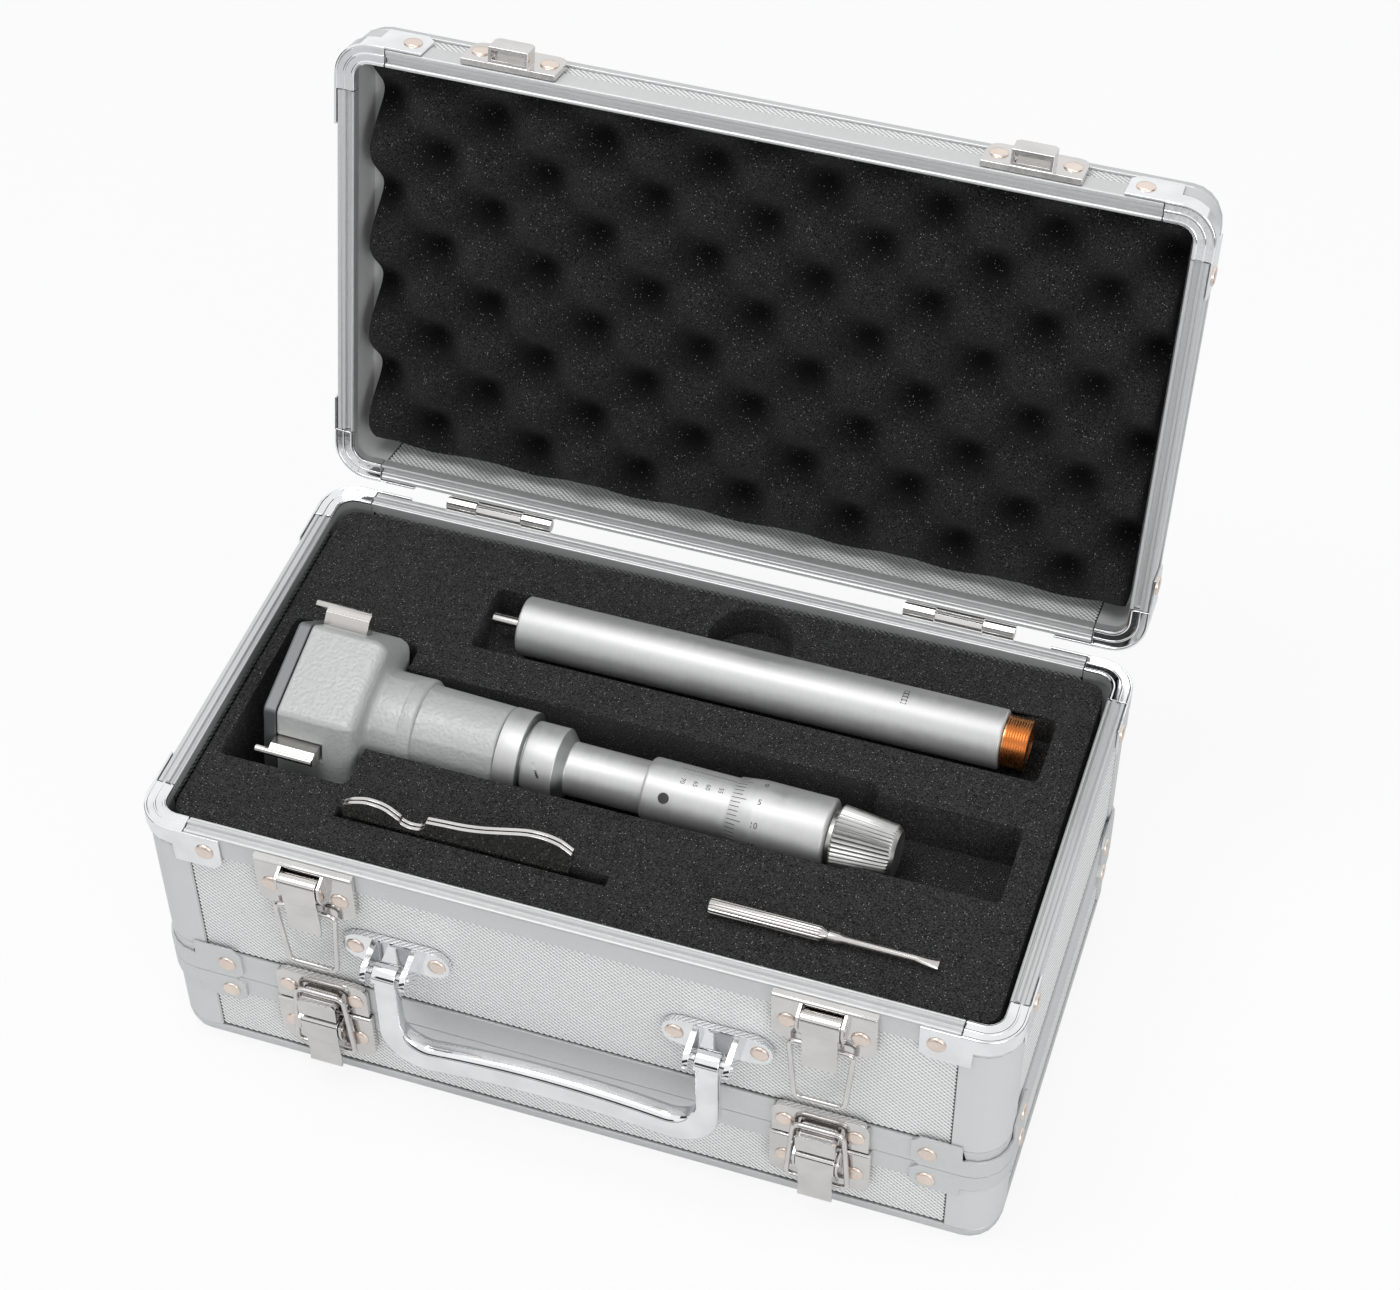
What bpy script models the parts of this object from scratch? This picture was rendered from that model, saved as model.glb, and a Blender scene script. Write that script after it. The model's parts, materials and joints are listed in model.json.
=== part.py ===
"""A three-tier instrument case at rest: base closed, tray closed on it, lid swung open.

The tray's foam holds a three-point bore micrometer, its extension, a flat wrench and a
small screwdriver. Metres, +Z up, +Y towards the hinges, the front face at -Y. The origin
is the middle of the flat face that the case stands on.
"""

import math

import bmesh
import bpy
from mathutils import Matrix, Vector

# Gap between pieces that seat on each other.
CLEARANCE = 0.0003

# Outside of the case. Its length follows from the micrometer and the foam beyond it.
CASE_WIDTH = 0.1680
CORNER_RADIUS = 0.0120
BASE_TOP = 0.0412
TRAY_TOP = 0.1170
LID_GAP = 0.0005
LID_HEIGHT = 0.0246
CORNER_STEPS = 5

# Rim extrusions: a channel that grips the wall, a tongue below, a groove above.
RIM_WIDTH = 0.0064
RIM_OUTER_SKIN = 0.0013
RIM_INNER_SKIN = 0.0009
RIM_WEB = 0.0026
RIM_INNER_DEPTH = 0.0040
UPPER_BAND_HEIGHT = 0.0090
TRAY_LOWER_BAND_HEIGHT = 0.0130
TONGUE_INSET = 0.0033
TONGUE_WIDTH = 0.0014
TONGUE_HEIGHT = 0.0010
TONGUE_DRAFT = 0.0001
GROOVE_DEPTH = 0.0018
CAP_THICKNESS = 0.0008

# Walls and panels.
PANEL_RECESS = 0.0009
STRIP_REACH = 0.0173
JOINT_STEP = 0.0003
FLOOR_THICKNESS = 0.0026
LID_TOP_THICKNESS = 0.0033

# Edge strips round the base's lower edge and the lid's upper edge.
EDGE_HEIGHT = 0.0085
EDGE_RADIUS = 0.0070
EDGE_SKIN = 0.0015
EDGE_BEND = 0.0035
EDGE_LIP = 0.0022
EDGE_STEPS = 3

# Corner plates and caps.
PLATE_REACH = 0.0305
PLATE_BEND_REACH = 0.0130
PLATE_THICKNESS = 0.0008
PLATE_GAP = 0.0002
PLATE_CHAMFER = 0.0030
PLATE_BITE = 0.0003
CAP_TAB_HEIGHT = 0.0150
CAP_BAND_HEIGHT = 0.0070
LOWER_TAB_LOW = 0.0290
LOWER_BAND_LOW = 0.0335
UPPER_TAB_HIGH = 0.0570
UPPER_BAND_HIGH = 0.0500

# Hinges at the back.
HINGE_OFFSET = 0.0027
HINGE_FROM_END = 0.0640
HINGE_LENGTH = 0.0400
HINGE_KNUCKLE_RADIUS = 0.0023
HINGE_PIN_RADIUS = 0.0011
HINGE_PIN_CLEARANCE = 0.0003
HINGE_MIDDLE_LENGTH = 0.0170
HINGE_LEAF_THICKNESS = 0.0012
HINGE_LEAF_DEPTH = 0.0140
HINGE_STEPS = 8
LID_OPEN_ANGLE = math.radians(103.55)

# Draw latches, measured from the top middle of the latch plate, outwards and upwards.
LATCH_FROM_END = 0.0610
LOWER_LATCH_DROP = 0.0005
LATCH_PLATE_WIDTH = 0.0350
LATCH_PLATE_HEIGHT = 0.0222
LATCH_PLATE_FRONT = 0.0024
LATCH_PLATE_CORNER = 0.0040
LATCH_EAR_INNER = 0.0070
LATCH_EAR_THICKNESS = 0.0009
LATCH_EAR_TOP = 0.0006
LATCH_EAR_SHOULDER = 0.0026
LATCH_EAR_WAIST = 0.0070
LATCH_EAR_HEEL = 0.0130
LATCH_EAR_FOOT = 0.0145
LATCH_EAR_OUT = 0.0080
LATCH_EAR_SHOULDER_OUT = 0.0076
LATCH_EAR_HEEL_OUT = 0.0060
LATCH_EAR_ROOT = 0.0015
LATCH_PIVOT_OUT = 0.0061
LATCH_PIVOT_DROP = 0.0048
LATCH_PIN_RADIUS = 0.00085
LATCH_PIN_CLEARANCE = 0.0003
LEVER_HALF_WIDTH = 0.0067
LEVER_TAIL_HALF_WIDTH = 0.0060
LEVER_TOP = 0.0020
LEVER_BACK = 0.0042
LEVER_FRONT = 0.0084
LEVER_HEAD_END = 0.0095
LEVER_HEAD_BACK_END = 0.0076
LEVER_TAIL_FRONT = 0.0076
LEVER_TAIL_LOW_FRONT = 0.0068
LEVER_TAIL_END = 0.0260
LEVER_LIP_OUT = 0.0090
LEVER_LIP_END = 0.0313
LEVER_SKIN = 0.0010
LEVER_CHEEK_THICKNESS = 0.0009
LEVER_CHEEK_BACK = 0.0031
LEVER_CHEEK_TOP = 0.0070
LEVER_CHEEK_END = 0.0220
BAIL_HOLE_OUT = 0.0046
BAIL_HOLE_DROP = 0.0195
BAIL_RADIUS = 0.0010
BAIL_CLEARANCE = 0.0003
BAIL_LENGTH = 0.0300
BAIL_HALF_WIDTH = 0.0108
BAIL_BAR_HALF_WIDTH = 0.0086
BAIL_BEND = 0.0020
BAIL_INNER_END = 0.0046
BAIL_STEPS = 2
BAIL_SIDES = 6

# Keepers that the bails hook over.
KEEPER_WIDTH = 0.0335
KEEPER_HEIGHT = 0.0155
KEEPER_RISE = 0.0008
KEEPER_CORNER = 0.0040
HOOK_HALF_WIDTH = 0.0070
HOOK_FRONT = 0.0082
HOOK_RISE = 0.0010
HOOK_CHAMFER = 0.0012
HOOK_WALL = 0.0012
HOOK_POCKET_DEPTH = 0.0030

# Carrying handle and its brackets.
HANDLE_CENTRE = -0.0030
HANDLE_LEG_SPACING = 0.1123
HANDLE_PIN_OUT = 0.0098
HANDLE_UNDER_LATCH = 0.0073
HANDLE_LEG_WIDTH = 0.0084
HANDLE_BACK = 0.0078
HANDLE_FRONT = 0.0138
HANDLE_KNUCKLE_RADIUS = 0.0041
HANDLE_KNUCKLE_PROUD = 0.0002
HANDLE_END_DROP = 0.0445
HANDLE_ARCH = 0.0030
HANDLE_GRIP_HEIGHT = 0.0122
HANDLE_OUTER_RADIUS = 0.0170
HANDLE_INNER_RADIUS = 0.0100
HANDLE_EDGE_BEVEL = 0.0017
HANDLE_PIN_CLEARANCE = 0.0003
HANDLE_CORNER_STEPS = 4
HANDLE_ARCH_STEPS = 4
BRACKET_LENGTH = 0.0385
BRACKET_HEIGHT = 0.0130
BRACKET_THICKNESS = 0.0015
BRACKET_EAR_INNER = 0.0060
BRACKET_EAR_THICKNESS = 0.0020
BRACKET_EAR_RADIUS = 0.0045
BRACKET_PIN_RADIUS = 0.0016

# Foam.
FOAM_INSET = 0.0084
FOAM_TOP = 0.1135
FOAM_CORNER = 0.0060
FOAM_CORNER_STEPS = 3
LID_FOAM_INSET = 0.0090
LID_FOAM_BOTTOM = 0.1215
LOBE_DEPTH = 0.0125
LOBE_STEP_X = 0.0196
LOBE_STEP_Y = 0.0179
LOBE_START_X = 0.0005
LOBE_START_Y = 0.0100
POCKET_CORNER = 0.0025
POCKET_OVERLAP = 0.0095
BARREL_POCKET_REACH_FRONT = 0.0208
BARREL_POCKET_REACH_BACK = 0.0177
BARREL_POCKET_SPARE = 0.0110
KNOB_POCKET_REACH_FRONT = 0.0188
KNOB_POCKET_REACH_BACK = 0.0137
KNOB_POCKET_SPARE = 0.0380
NECK_POCKET_SPARE = 0.0014
HEAD_POCKET_SPARE_LEFT = 0.0115
HEAD_POCKET_SPARE_RIGHT = 0.0020
HEAD_POCKET_REACH_FRONT = 0.0378
HEAD_POCKET_REACH_BACK = 0.0287
HEAD_FLOOR_LIFT = 0.0009
TUBE_POCKET_SPARE_LEFT = 0.0030
TUBE_POCKET_SPARE_RIGHT = 0.0065
TUBE_POCKET_REACH_FRONT = 0.0163
TUBE_POCKET_REACH_BACK = 0.0127
NOTCH_FROM_TUBE_END = 0.0785
NOTCH_BEHIND_POCKET = 0.0030
NOTCH_RADIUS = 0.0155
NOTCH_STEPS = 16
SLIT_SPARE_LEFT = 0.0035
SLIT_SPARE_RIGHT = 0.0111
SLIT_WIDTH = 0.0044

# Bore micrometer: its place in the case, then the lengths of its sections in their order.
MICROMETER_MARGIN = 0.0245
KNOB_MARGIN = 0.0575
MICROMETER_LEFT_Y = -0.0087
MICROMETER_Z = 0.1064
MICROMETER_ANGLE = math.radians(-0.98)
MICROMETER_ROLL = math.radians(107)
HEAD_WIDE_FACE = 0.0245
HEAD_ANVIL_FACE = 0.0270
HEAD_CORNER_RADIUS = 0.0025
HEAD_CORNER_STEPS = 2
HEAD_SIDE_STEPS = 3
COVER_THICKNESS = 0.0047
COVER_CHAMFER = 0.0006
HEAD_LENGTH = 0.0330
HEAD_SHOULDER = 0.0042
HEAD_SHOULDER_DROP_SHARE = 0.88
NECK_LENGTH = 0.0145
NECK_STEP_LENGTH = 0.0027
WAIST_LENGTH = 0.0284
NECK_RADIUS = 0.0175
NECK_FILLET = 0.0016
WAIST_RADIUS = 0.0159
WAIST_END_RADIUS = 0.0154
RING_LENGTH = 0.0085
RING_RADIUS = 0.0156
RING_CHAMFER = 0.0006
GROOVE_LENGTH = 0.0008
GROOVE_RADIUS = 0.0121
COLLAR_LENGTH = 0.0113
COLLAR_RADIUS = 0.0130
COLLAR_TAPER_LENGTH = 0.0032
SLEEVE_LENGTH = 0.0277
SLEEVE_RADIUS = 0.0093
SCALE_STEP_LENGTH = 0.0012
SCALE_LENGTH = 0.0517
SCALE_RADIUS = 0.0113
BARREL_BORE_LEAD = 0.0031
BARREL_BORE_RADIUS = 0.0048
SPINDLE_HEADROOM = 0.0080
SPINDLE_RADIUS = 0.0040
THIMBLE_OVERLAP = 0.0223
THIMBLE_BEVEL_LENGTH = 0.0084
THIMBLE_LENGTH = 0.0338
THIMBLE_LIP = 0.0003
THIMBLE_RADIUS = 0.0129
THIMBLE_CHAMFER = 0.0010
THIMBLE_BORE_GAP = 0.0003
THIMBLE_CAP_LENGTH = 0.0040
SPINDLE_END_RADIUS = 0.0030
KNOB_NECK_RADIUS = 0.0095
KNOB_NECK_LENGTH = 0.0020
KNOB_GRIP_LENGTH = 0.0200
KNOB_FACE_LENGTH = 0.0015
KNOB_RADIUS = 0.0116
KNOB_GRIP_END_RADIUS = 0.0093
KNOB_END_RADIUS = 0.0076
KNOB_CHAMFER = 0.0005
ROUND_STEPS = 28
ANVIL_INNER = 0.0160
ANVIL_OUTER = 0.0336
ANVIL_EXTENSION = 0.0020
ANVIL_THICKNESS = 0.0055
ANVIL_NOSE = 0.0022
ANVIL_NOSE_THICKNESS = 0.0026
ANVIL_START = 0.0050
ANVIL_LENGTH = 0.0162
ANVIL_PIN_RADIUS = 0.0013
ANVIL_PIN_CENTRE = 0.0330
ANVIL_PIN_OVERHANG = 0.0048
ANVIL_SLOT_BOTTOM = 0.0125
PIN_STEPS = 10

# Extension: tube, threaded ring and push rod.
TUBE_MARGIN = 0.0900
TUBE_LENGTH = 0.1740
TUBE_Y = 0.0423
TUBE_Z = 0.1120
TUBE_RADIUS = 0.0105
TUBE_CHAMFER = 0.0006
ROD_RADIUS = 0.0013
ROD_REACH = 0.0115
ROD_INSIDE = 0.0160
ROD_BORE_DEPTH = 0.0230
ROD_CLEARANCE = 0.0003
RING_BORE_DEPTH = 0.0060
RING_SPIGOT_RADIUS = 0.0060
THREAD_RING_LENGTH = 0.0090
THREAD_RING_RADIUS = 0.0092
THREAD_RING_BORE = 0.0050
THREAD_CHAMFER = 0.0006

# Wrench: two plates on edge, joined at a pivot.
WRENCH_Y = -0.0580
WRENCH_PLATE = 0.0013
WRENCH_GAP = 0.0005
WRENCH_MARGIN = 0.0640
WRENCH_LENGTH = 0.0815
WRENCH_SINK = 0.0145
WRENCH_LEFT_HEIGHT = 0.0204
WRENCH_NECK_REACH = 0.0160
WRENCH_NECK_HEIGHT = 0.0162
WRENCH_RISE_REACH = 0.0300
WRENCH_RISE_HEIGHT = 0.0235
WRENCH_CREST_REACH = 0.0600
WRENCH_CREST_HEIGHT = 0.0310
WRENCH_RIGHT_HEIGHT = 0.0257
WRENCH_FOOT_INSET = 0.0060
WRENCH_STEPS = 6
WRENCH_PIVOT_RADIUS = 0.0022
WRENCH_PIVOT_HEIGHT = 0.0085
WRENCH_PIVOT_PROUD = 0.0003

# Screwdriver, lying on the foam.
DRIVER_Y = -0.0595
DRIVER_MARGIN = 0.0313
DRIVER_GRIP_LENGTH = 0.0390
DRIVER_COLLAR_LENGTH = 0.0048
DRIVER_SHAFT_LENGTH = 0.0252
DRIVER_TIP_LENGTH = 0.0077
DRIVER_GRIP_RADIUS = 0.00275
DRIVER_COLLAR_RADIUS = 0.0024
DRIVER_SHAFT_RADIUS = 0.0013
DRIVER_TIP_HALF_WIDTH = 0.0021
DRIVER_TIP_HALF_THICKNESS = 0.0004
DRIVER_CHAMFER = 0.0005
DRIVER_STEPS = 10

SHARP_ANGLE = math.radians(35)

# Stations along the micrometer, from the outer face of its end cover.
HEAD_END = HEAD_LENGTH
NECK_END = HEAD_END + NECK_LENGTH
NECK_STEP_END = NECK_END + NECK_STEP_LENGTH
WAIST_END = NECK_STEP_END + WAIST_LENGTH
RING_END = WAIST_END + RING_LENGTH
GROOVE_END = RING_END + GROOVE_LENGTH
COLLAR_END = GROOVE_END + COLLAR_LENGTH
SLEEVE_START = COLLAR_END + COLLAR_TAPER_LENGTH
SLEEVE_END = SLEEVE_START + SLEEVE_LENGTH
SCALE_START = SLEEVE_END + SCALE_STEP_LENGTH
SCALE_END = SCALE_START + SCALE_LENGTH
BARREL_BORE_START = RING_END - BARREL_BORE_LEAD
SPINDLE_START = BARREL_BORE_START + SPINDLE_HEADROOM
THIMBLE_START = SCALE_END - THIMBLE_OVERLAP
THIMBLE_BEVEL_END = THIMBLE_START + THIMBLE_BEVEL_LENGTH
THIMBLE_END = THIMBLE_START + THIMBLE_LENGTH
THIMBLE_BORE_END = THIMBLE_END - THIMBLE_CAP_LENGTH
KNOB_START = THIMBLE_END + KNOB_NECK_LENGTH
KNOB_GRIP_END = KNOB_START + KNOB_GRIP_LENGTH
KNOB_END = KNOB_GRIP_END + KNOB_FACE_LENGTH

# Sizes that follow from those above.
CASE_LENGTH = MICROMETER_MARGIN + KNOB_END + KNOB_MARGIN
LEFT_X = -CASE_LENGTH / 2
RIGHT_X = CASE_LENGTH / 2
HINGE_CENTRE = RIGHT_X - HINGE_FROM_END
LATCH_CENTRE = RIGHT_X - LATCH_FROM_END
HANDLE_PIN_HEIGHT = TRAY_TOP - LATCH_PLATE_HEIGHT - HANDLE_UNDER_LATCH - BRACKET_HEIGHT / 2
MICROMETER_LEFT = LEFT_X + MICROMETER_MARGIN
TUBE_LEFT = LEFT_X + TUBE_MARGIN
TUBE_RIGHT = TUBE_LEFT + TUBE_LENGTH
THREAD_RING_RIGHT = TUBE_RIGHT + THREAD_RING_LENGTH
ROD_LEFT = TUBE_LEFT - ROD_REACH
ROD_RIGHT = TUBE_LEFT + ROD_INSIDE
ROD_BORE_RIGHT = TUBE_LEFT + ROD_BORE_DEPTH
WRENCH_LEFT = LEFT_X + WRENCH_MARGIN
WRENCH_RIGHT = WRENCH_LEFT + WRENCH_LENGTH
WRENCH_NECK_X = WRENCH_LEFT + WRENCH_NECK_REACH
WRENCH_RISE_X = WRENCH_LEFT + WRENCH_RISE_REACH
WRENCH_CREST_X = WRENCH_LEFT + WRENCH_CREST_REACH
WRENCH_BOTTOM = FOAM_TOP - WRENCH_SINK
WRENCH_LEFT_TOP = WRENCH_BOTTOM + WRENCH_LEFT_HEIGHT
WRENCH_NECK_TOP = WRENCH_BOTTOM + WRENCH_NECK_HEIGHT
WRENCH_RISE_TOP = WRENCH_BOTTOM + WRENCH_RISE_HEIGHT
WRENCH_CREST_TOP = WRENCH_BOTTOM + WRENCH_CREST_HEIGHT
WRENCH_RIGHT_TOP = WRENCH_BOTTOM + WRENCH_RIGHT_HEIGHT
DRIVER_TIP_END = RIGHT_X - DRIVER_MARGIN
DRIVER_SHAFT_END = DRIVER_TIP_END - DRIVER_TIP_LENGTH
DRIVER_COLLAR_END = DRIVER_SHAFT_END - DRIVER_SHAFT_LENGTH
DRIVER_GRIP_END = DRIVER_COLLAR_END - DRIVER_COLLAR_LENGTH
DRIVER_LEFT = DRIVER_GRIP_END - DRIVER_GRIP_LENGTH
BARREL_POCKET_FRONT = MICROMETER_LEFT_Y - BARREL_POCKET_REACH_FRONT
BARREL_POCKET_BACK = MICROMETER_LEFT_Y + BARREL_POCKET_REACH_BACK
BARREL_POCKET_RIGHT = MICROMETER_LEFT + THIMBLE_END + BARREL_POCKET_SPARE
KNOB_POCKET_FRONT = MICROMETER_LEFT_Y - KNOB_POCKET_REACH_FRONT
KNOB_POCKET_BACK = MICROMETER_LEFT_Y + KNOB_POCKET_REACH_BACK
KNOB_POCKET_LEFT = BARREL_POCKET_RIGHT - POCKET_OVERLAP
KNOB_POCKET_RIGHT = MICROMETER_LEFT + KNOB_END + KNOB_POCKET_SPARE
NECK_POCKET_RIGHT = MICROMETER_LEFT + RING_END + NECK_POCKET_SPARE
HEAD_POCKET_LEFT = MICROMETER_LEFT - HEAD_POCKET_SPARE_LEFT
HEAD_POCKET_RIGHT = MICROMETER_LEFT + HEAD_END + HEAD_POCKET_SPARE_RIGHT
HEAD_POCKET_FRONT = MICROMETER_LEFT_Y - HEAD_POCKET_REACH_FRONT
HEAD_POCKET_BACK = MICROMETER_LEFT_Y + HEAD_POCKET_REACH_BACK
BARREL_POCKET_LEFT = HEAD_POCKET_RIGHT - POCKET_OVERLAP
TUBE_POCKET_LEFT = ROD_LEFT - TUBE_POCKET_SPARE_LEFT
TUBE_POCKET_RIGHT = THREAD_RING_RIGHT + TUBE_POCKET_SPARE_RIGHT
TUBE_POCKET_FRONT = TUBE_Y - TUBE_POCKET_REACH_FRONT
TUBE_POCKET_BACK = TUBE_Y + TUBE_POCKET_REACH_BACK
NOTCH_X = TUBE_LEFT + NOTCH_FROM_TUBE_END
NOTCH_Y = TUBE_POCKET_BACK + NOTCH_BEHIND_POCKET
SLIT_LEFT = WRENCH_LEFT - SLIT_SPARE_LEFT
SLIT_RIGHT = WRENCH_RIGHT + SLIT_SPARE_RIGHT
LID_FOAM_PIT = LID_FOAM_BOTTOM + LOBE_DEPTH
TRAY_BOTTOM = BASE_TOP + CLEARANCE
LID_BOTTOM = TRAY_TOP + LID_GAP
LID_TOP = LID_BOTTOM + LID_HEIGHT
FRONT_Y = -CASE_WIDTH / 2
BACK_Y = CASE_WIDTH / 2
WALL_OUTER = RIM_OUTER_SKIN + CLEARANCE
WALL_INNER = RIM_WIDTH - RIM_INNER_SKIN - CLEARANCE
EDGE_WALL_INSET = EDGE_SKIN + CLEARANCE
LID_AXIS = Vector((0, BACK_Y + HINGE_OFFSET, TRAY_TOP + LID_GAP / 2))
TRAY_AXIS = Vector((0, BACK_Y + HINGE_OFFSET, BASE_TOP + CLEARANCE / 2))
LOWER_LATCH_TOP = BASE_TOP - LOWER_LATCH_DROP
BARREL_FLOOR = MICROMETER_Z - THIMBLE_RADIUS - CLEARANCE
NECK_FLOOR = MICROMETER_Z - NECK_RADIUS - CLEARANCE
PIN_REACH = ANVIL_PIN_CENTRE + ANVIL_PIN_RADIUS + ANVIL_EXTENSION
HEAD_FLOOR = MICROMETER_Z - PIN_REACH + HEAD_FLOOR_LIFT
TUBE_FLOOR = TUBE_Z - TUBE_RADIUS - CLEARANCE
SLIT_FLOOR = WRENCH_BOTTOM - CLEARANCE
TRAY_FLOOR_UNDER = TRAY_BOTTOM + RIM_INNER_DEPTH + CLEARANCE
TRAY_FLOOR = TRAY_FLOOR_UNDER + FLOOR_THICKNESS
LID_CEILING = LID_TOP - LID_TOP_THICKNESS

# Turns a shape drawn across and up, and given a depth outwards, onto the front face.
FRONT_FRAME = Matrix.Rotation(math.pi / 2, 4, "X")
# Turns a shape drawn outwards and up, and given a width, onto the front face.
SIDE_FRAME = Matrix(((0, 0, 1, 0), (-1, 0, 0, 0), (0, 1, 0, 0), (0, 0, 0, 1)))


def clear_scene():
    for obj in list(bpy.data.objects):
        bpy.data.objects.remove(obj, do_unlink=True)


def finish_of(name, colour, metallic, roughness):
    look = bpy.data.materials.new(name)
    look.use_nodes = True
    shader = look.node_tree.nodes["Principled BSDF"]
    shader.inputs["Base Color"].default_value = (*colour, 1)
    shader.inputs["Metallic"].default_value = metallic
    shader.inputs["Roughness"].default_value = roughness
    return look


def facing_out(shape):
    bmesh.ops.recalc_face_normals(shape, faces=shape.faces)
    if shape.calc_volume(signed=True) < 0:
        bmesh.ops.reverse_faces(shape, faces=shape.faces)


def add_node(name, shape, look, origin=(0, 0, 0), placement=None):
    """Turns a shape into a named object whose origin lies on its joint's axis."""
    if placement is not None:
        shape.transform(placement)
    shape.transform(Matrix.Translation(-Vector(origin)))
    facing_out(shape)
    mesh = bpy.data.meshes.new(name)
    shape.to_mesh(mesh)
    shape.free()
    mesh.shade_smooth()
    mesh.set_sharp_from_angle(angle=SHARP_ANGLE)
    mesh.materials.append(look)
    obj = bpy.data.objects.new(name, mesh)
    obj.location = origin
    bpy.context.scene.collection.objects.link(obj)
    return obj


def combined(base, joined=(), removed=()):
    """The base shape with other shapes joined to it and others cut from it."""
    helpers = []
    for shape in (base, *joined, *removed):
        facing_out(shape)
        mesh = bpy.data.meshes.new("helper")
        shape.to_mesh(mesh)
        shape.free()
        helper = bpy.data.objects.new("helper", mesh)
        bpy.context.scene.collection.objects.link(helper)
        helpers.append(helper)
    for index, helper in enumerate(helpers[1:]):
        change = helpers[0].modifiers.new("change", "BOOLEAN")
        change.solver = "EXACT"
        change.operation = "UNION" if index < len(joined) else "DIFFERENCE"
        change.object = helper
    bpy.context.view_layer.update()
    graph = bpy.context.evaluated_depsgraph_get()
    result = bpy.data.meshes.new_from_object(helpers[0].evaluated_get(graph))
    shape = bmesh.new()
    shape.from_mesh(result)
    bpy.data.meshes.remove(result)
    for helper in helpers:
        bpy.data.objects.remove(helper, do_unlink=True)
    return shape


def prism(outline, low, high):
    """A flat outline given a thickness from low to high."""
    shape = bmesh.new()
    ends = []
    for height in (low, high):
        ends.append([shape.verts.new((x, y, height)) for x, y in outline])
        shape.faces.new(ends[-1])
    count = len(outline)
    for index in range(count):
        after = (index + 1) % count
        shape.faces.new((ends[0][index], ends[0][after], ends[1][after], ends[1][index]))
    return shape


def placed(shape, placement):
    shape.transform(placement)
    return shape


def arc(centre, radius, start, end, steps):
    """Points on a circle from one angle to another."""
    points = []
    for step in range(steps + 1):
        turn = start + (end - start) * step / steps
        points.append((centre[0] + radius * math.cos(turn), centre[1] + radius * math.sin(turn)))
    return points


def rounded_box(left, right, low, high, radius, steps):
    """A rectangle's outline with round corners, anticlockwise from the lower right."""
    quarter = math.pi / 2
    points = []
    for index, (x, y) in enumerate(((right, low), (right, high), (left, high), (left, low))):
        inward_x = -radius if x == right else radius
        inward_y = radius if y == low else -radius
        start = (index - 1) * quarter
        points += arc((x + inward_x, y + inward_y), radius, start, start + quarter, steps)
    return points


def loft(rows, around=True, ends=True):
    """Skins rows of points that all hold the same count, and closes both ends."""
    shape = bmesh.new()
    rings = [[shape.verts.new(point) for point in row] for row in rows]
    count = len(rings[0])
    spans = count if around else count - 1
    for ring, following in zip(rings, rings[1:]):
        for index in range(spans):
            after = (index + 1) % count
            shape.faces.new((ring[index], following[index], following[after], ring[after]))
    if ends:
        shape.faces.new(rings[0])
        shape.faces.new(rings[-1])
    return shape


def lathe(profile, steps):
    """Turns (along, radius) points about the X axis. The ends lie on the axis, or the
    profile closes on itself round a bore."""
    shape = bmesh.new()
    rings = []
    for along, radius in profile:
        if radius == 0:
            rings.append([shape.verts.new((along, 0, 0))])
            continue
        circle = arc((0, 0), radius, 0, 2 * math.pi, steps)[:-1]
        rings.append([shape.verts.new((along, y, z)) for y, z in circle])
    closes = profile[0][1] > 0
    following_rings = rings[1:] + (rings[:1] if closes else [])
    for ring, following in zip(rings, following_rings):
        for index in range(steps):
            after = (index + 1) % steps
            corners = [ring[index % len(ring)], following[index % len(following)]]
            corners += [following[after % len(following)], ring[after % len(ring)]]
            shape.faces.new(list(dict.fromkeys(corners)))
    return shape


def rod(start, end, radius, steps):
    """A plain round bar along the X axis."""
    return lathe([(start, 0), (start, radius), (end, radius), (end, 0)], steps)


def wire(path, radius, sides):
    """A round wire along a flat path drawn in X and Y."""
    rows = []
    for index, point in enumerate(path):
        before = Vector(path[max(index - 1, 0)])
        after = Vector(path[min(index + 1, len(path) - 1)])
        here = Vector(point)
        arriving = (here - before) if index else (after - here)
        leaving = (after - here) if index < len(path) - 1 else arriving
        middle = (arriving.normalized() + leaving.normalized()).normalized()
        spread = 1 / middle.dot(leaving.normalized())
        across = Vector((-middle.y, middle.x)) * spread
        row = []
        for y, z in arc((0, 0), radius, 0, 2 * math.pi, sides)[:-1]:
            row.append((here.x + across.x * y, here.y + across.y * y, z))
        rows.append(row)
    return loft(rows)


def outline_stations(split):
    """Points round the case's plan, each with its inward direction and whether it is
    by a corner. A split plan has a pair of points where each corner strip ends."""
    found = []
    for quarter in range(4):
        side_x = 1 if quarter in (0, 3) else -1
        side_y = 1 if quarter in (0, 1) else -1
        centre = Vector((CASE_LENGTH / 2 - CORNER_RADIUS, CASE_WIDTH / 2 - CORNER_RADIUS))
        centre = Vector((centre.x * side_x, centre.y * side_y))
        for step in range(CORNER_STEPS + 1):
            turn = math.pi / 2 * (quarter + step / CORNER_STEPS)
            out = Vector((math.cos(turn), math.sin(turn)))
            found.append((centre + out * CORNER_RADIUS, -out, True))
        if not split:
            continue
        ahead = Vector((-out.y, out.x))
        whole = CASE_WIDTH if quarter % 2 else CASE_LENGTH
        length = whole - 2 * CORNER_RADIUS
        reach = STRIP_REACH - CORNER_RADIUS
        begin = found[-1][0]
        found.append((begin + ahead * reach, -out, True))
        found.append((begin + ahead * (reach + JOINT_STEP), -out, False))
        found.append((begin + ahead * (length - reach - JOINT_STEP), -out, False))
        found.append((begin + ahead * (length - reach), -out, True))
    return found


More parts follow.
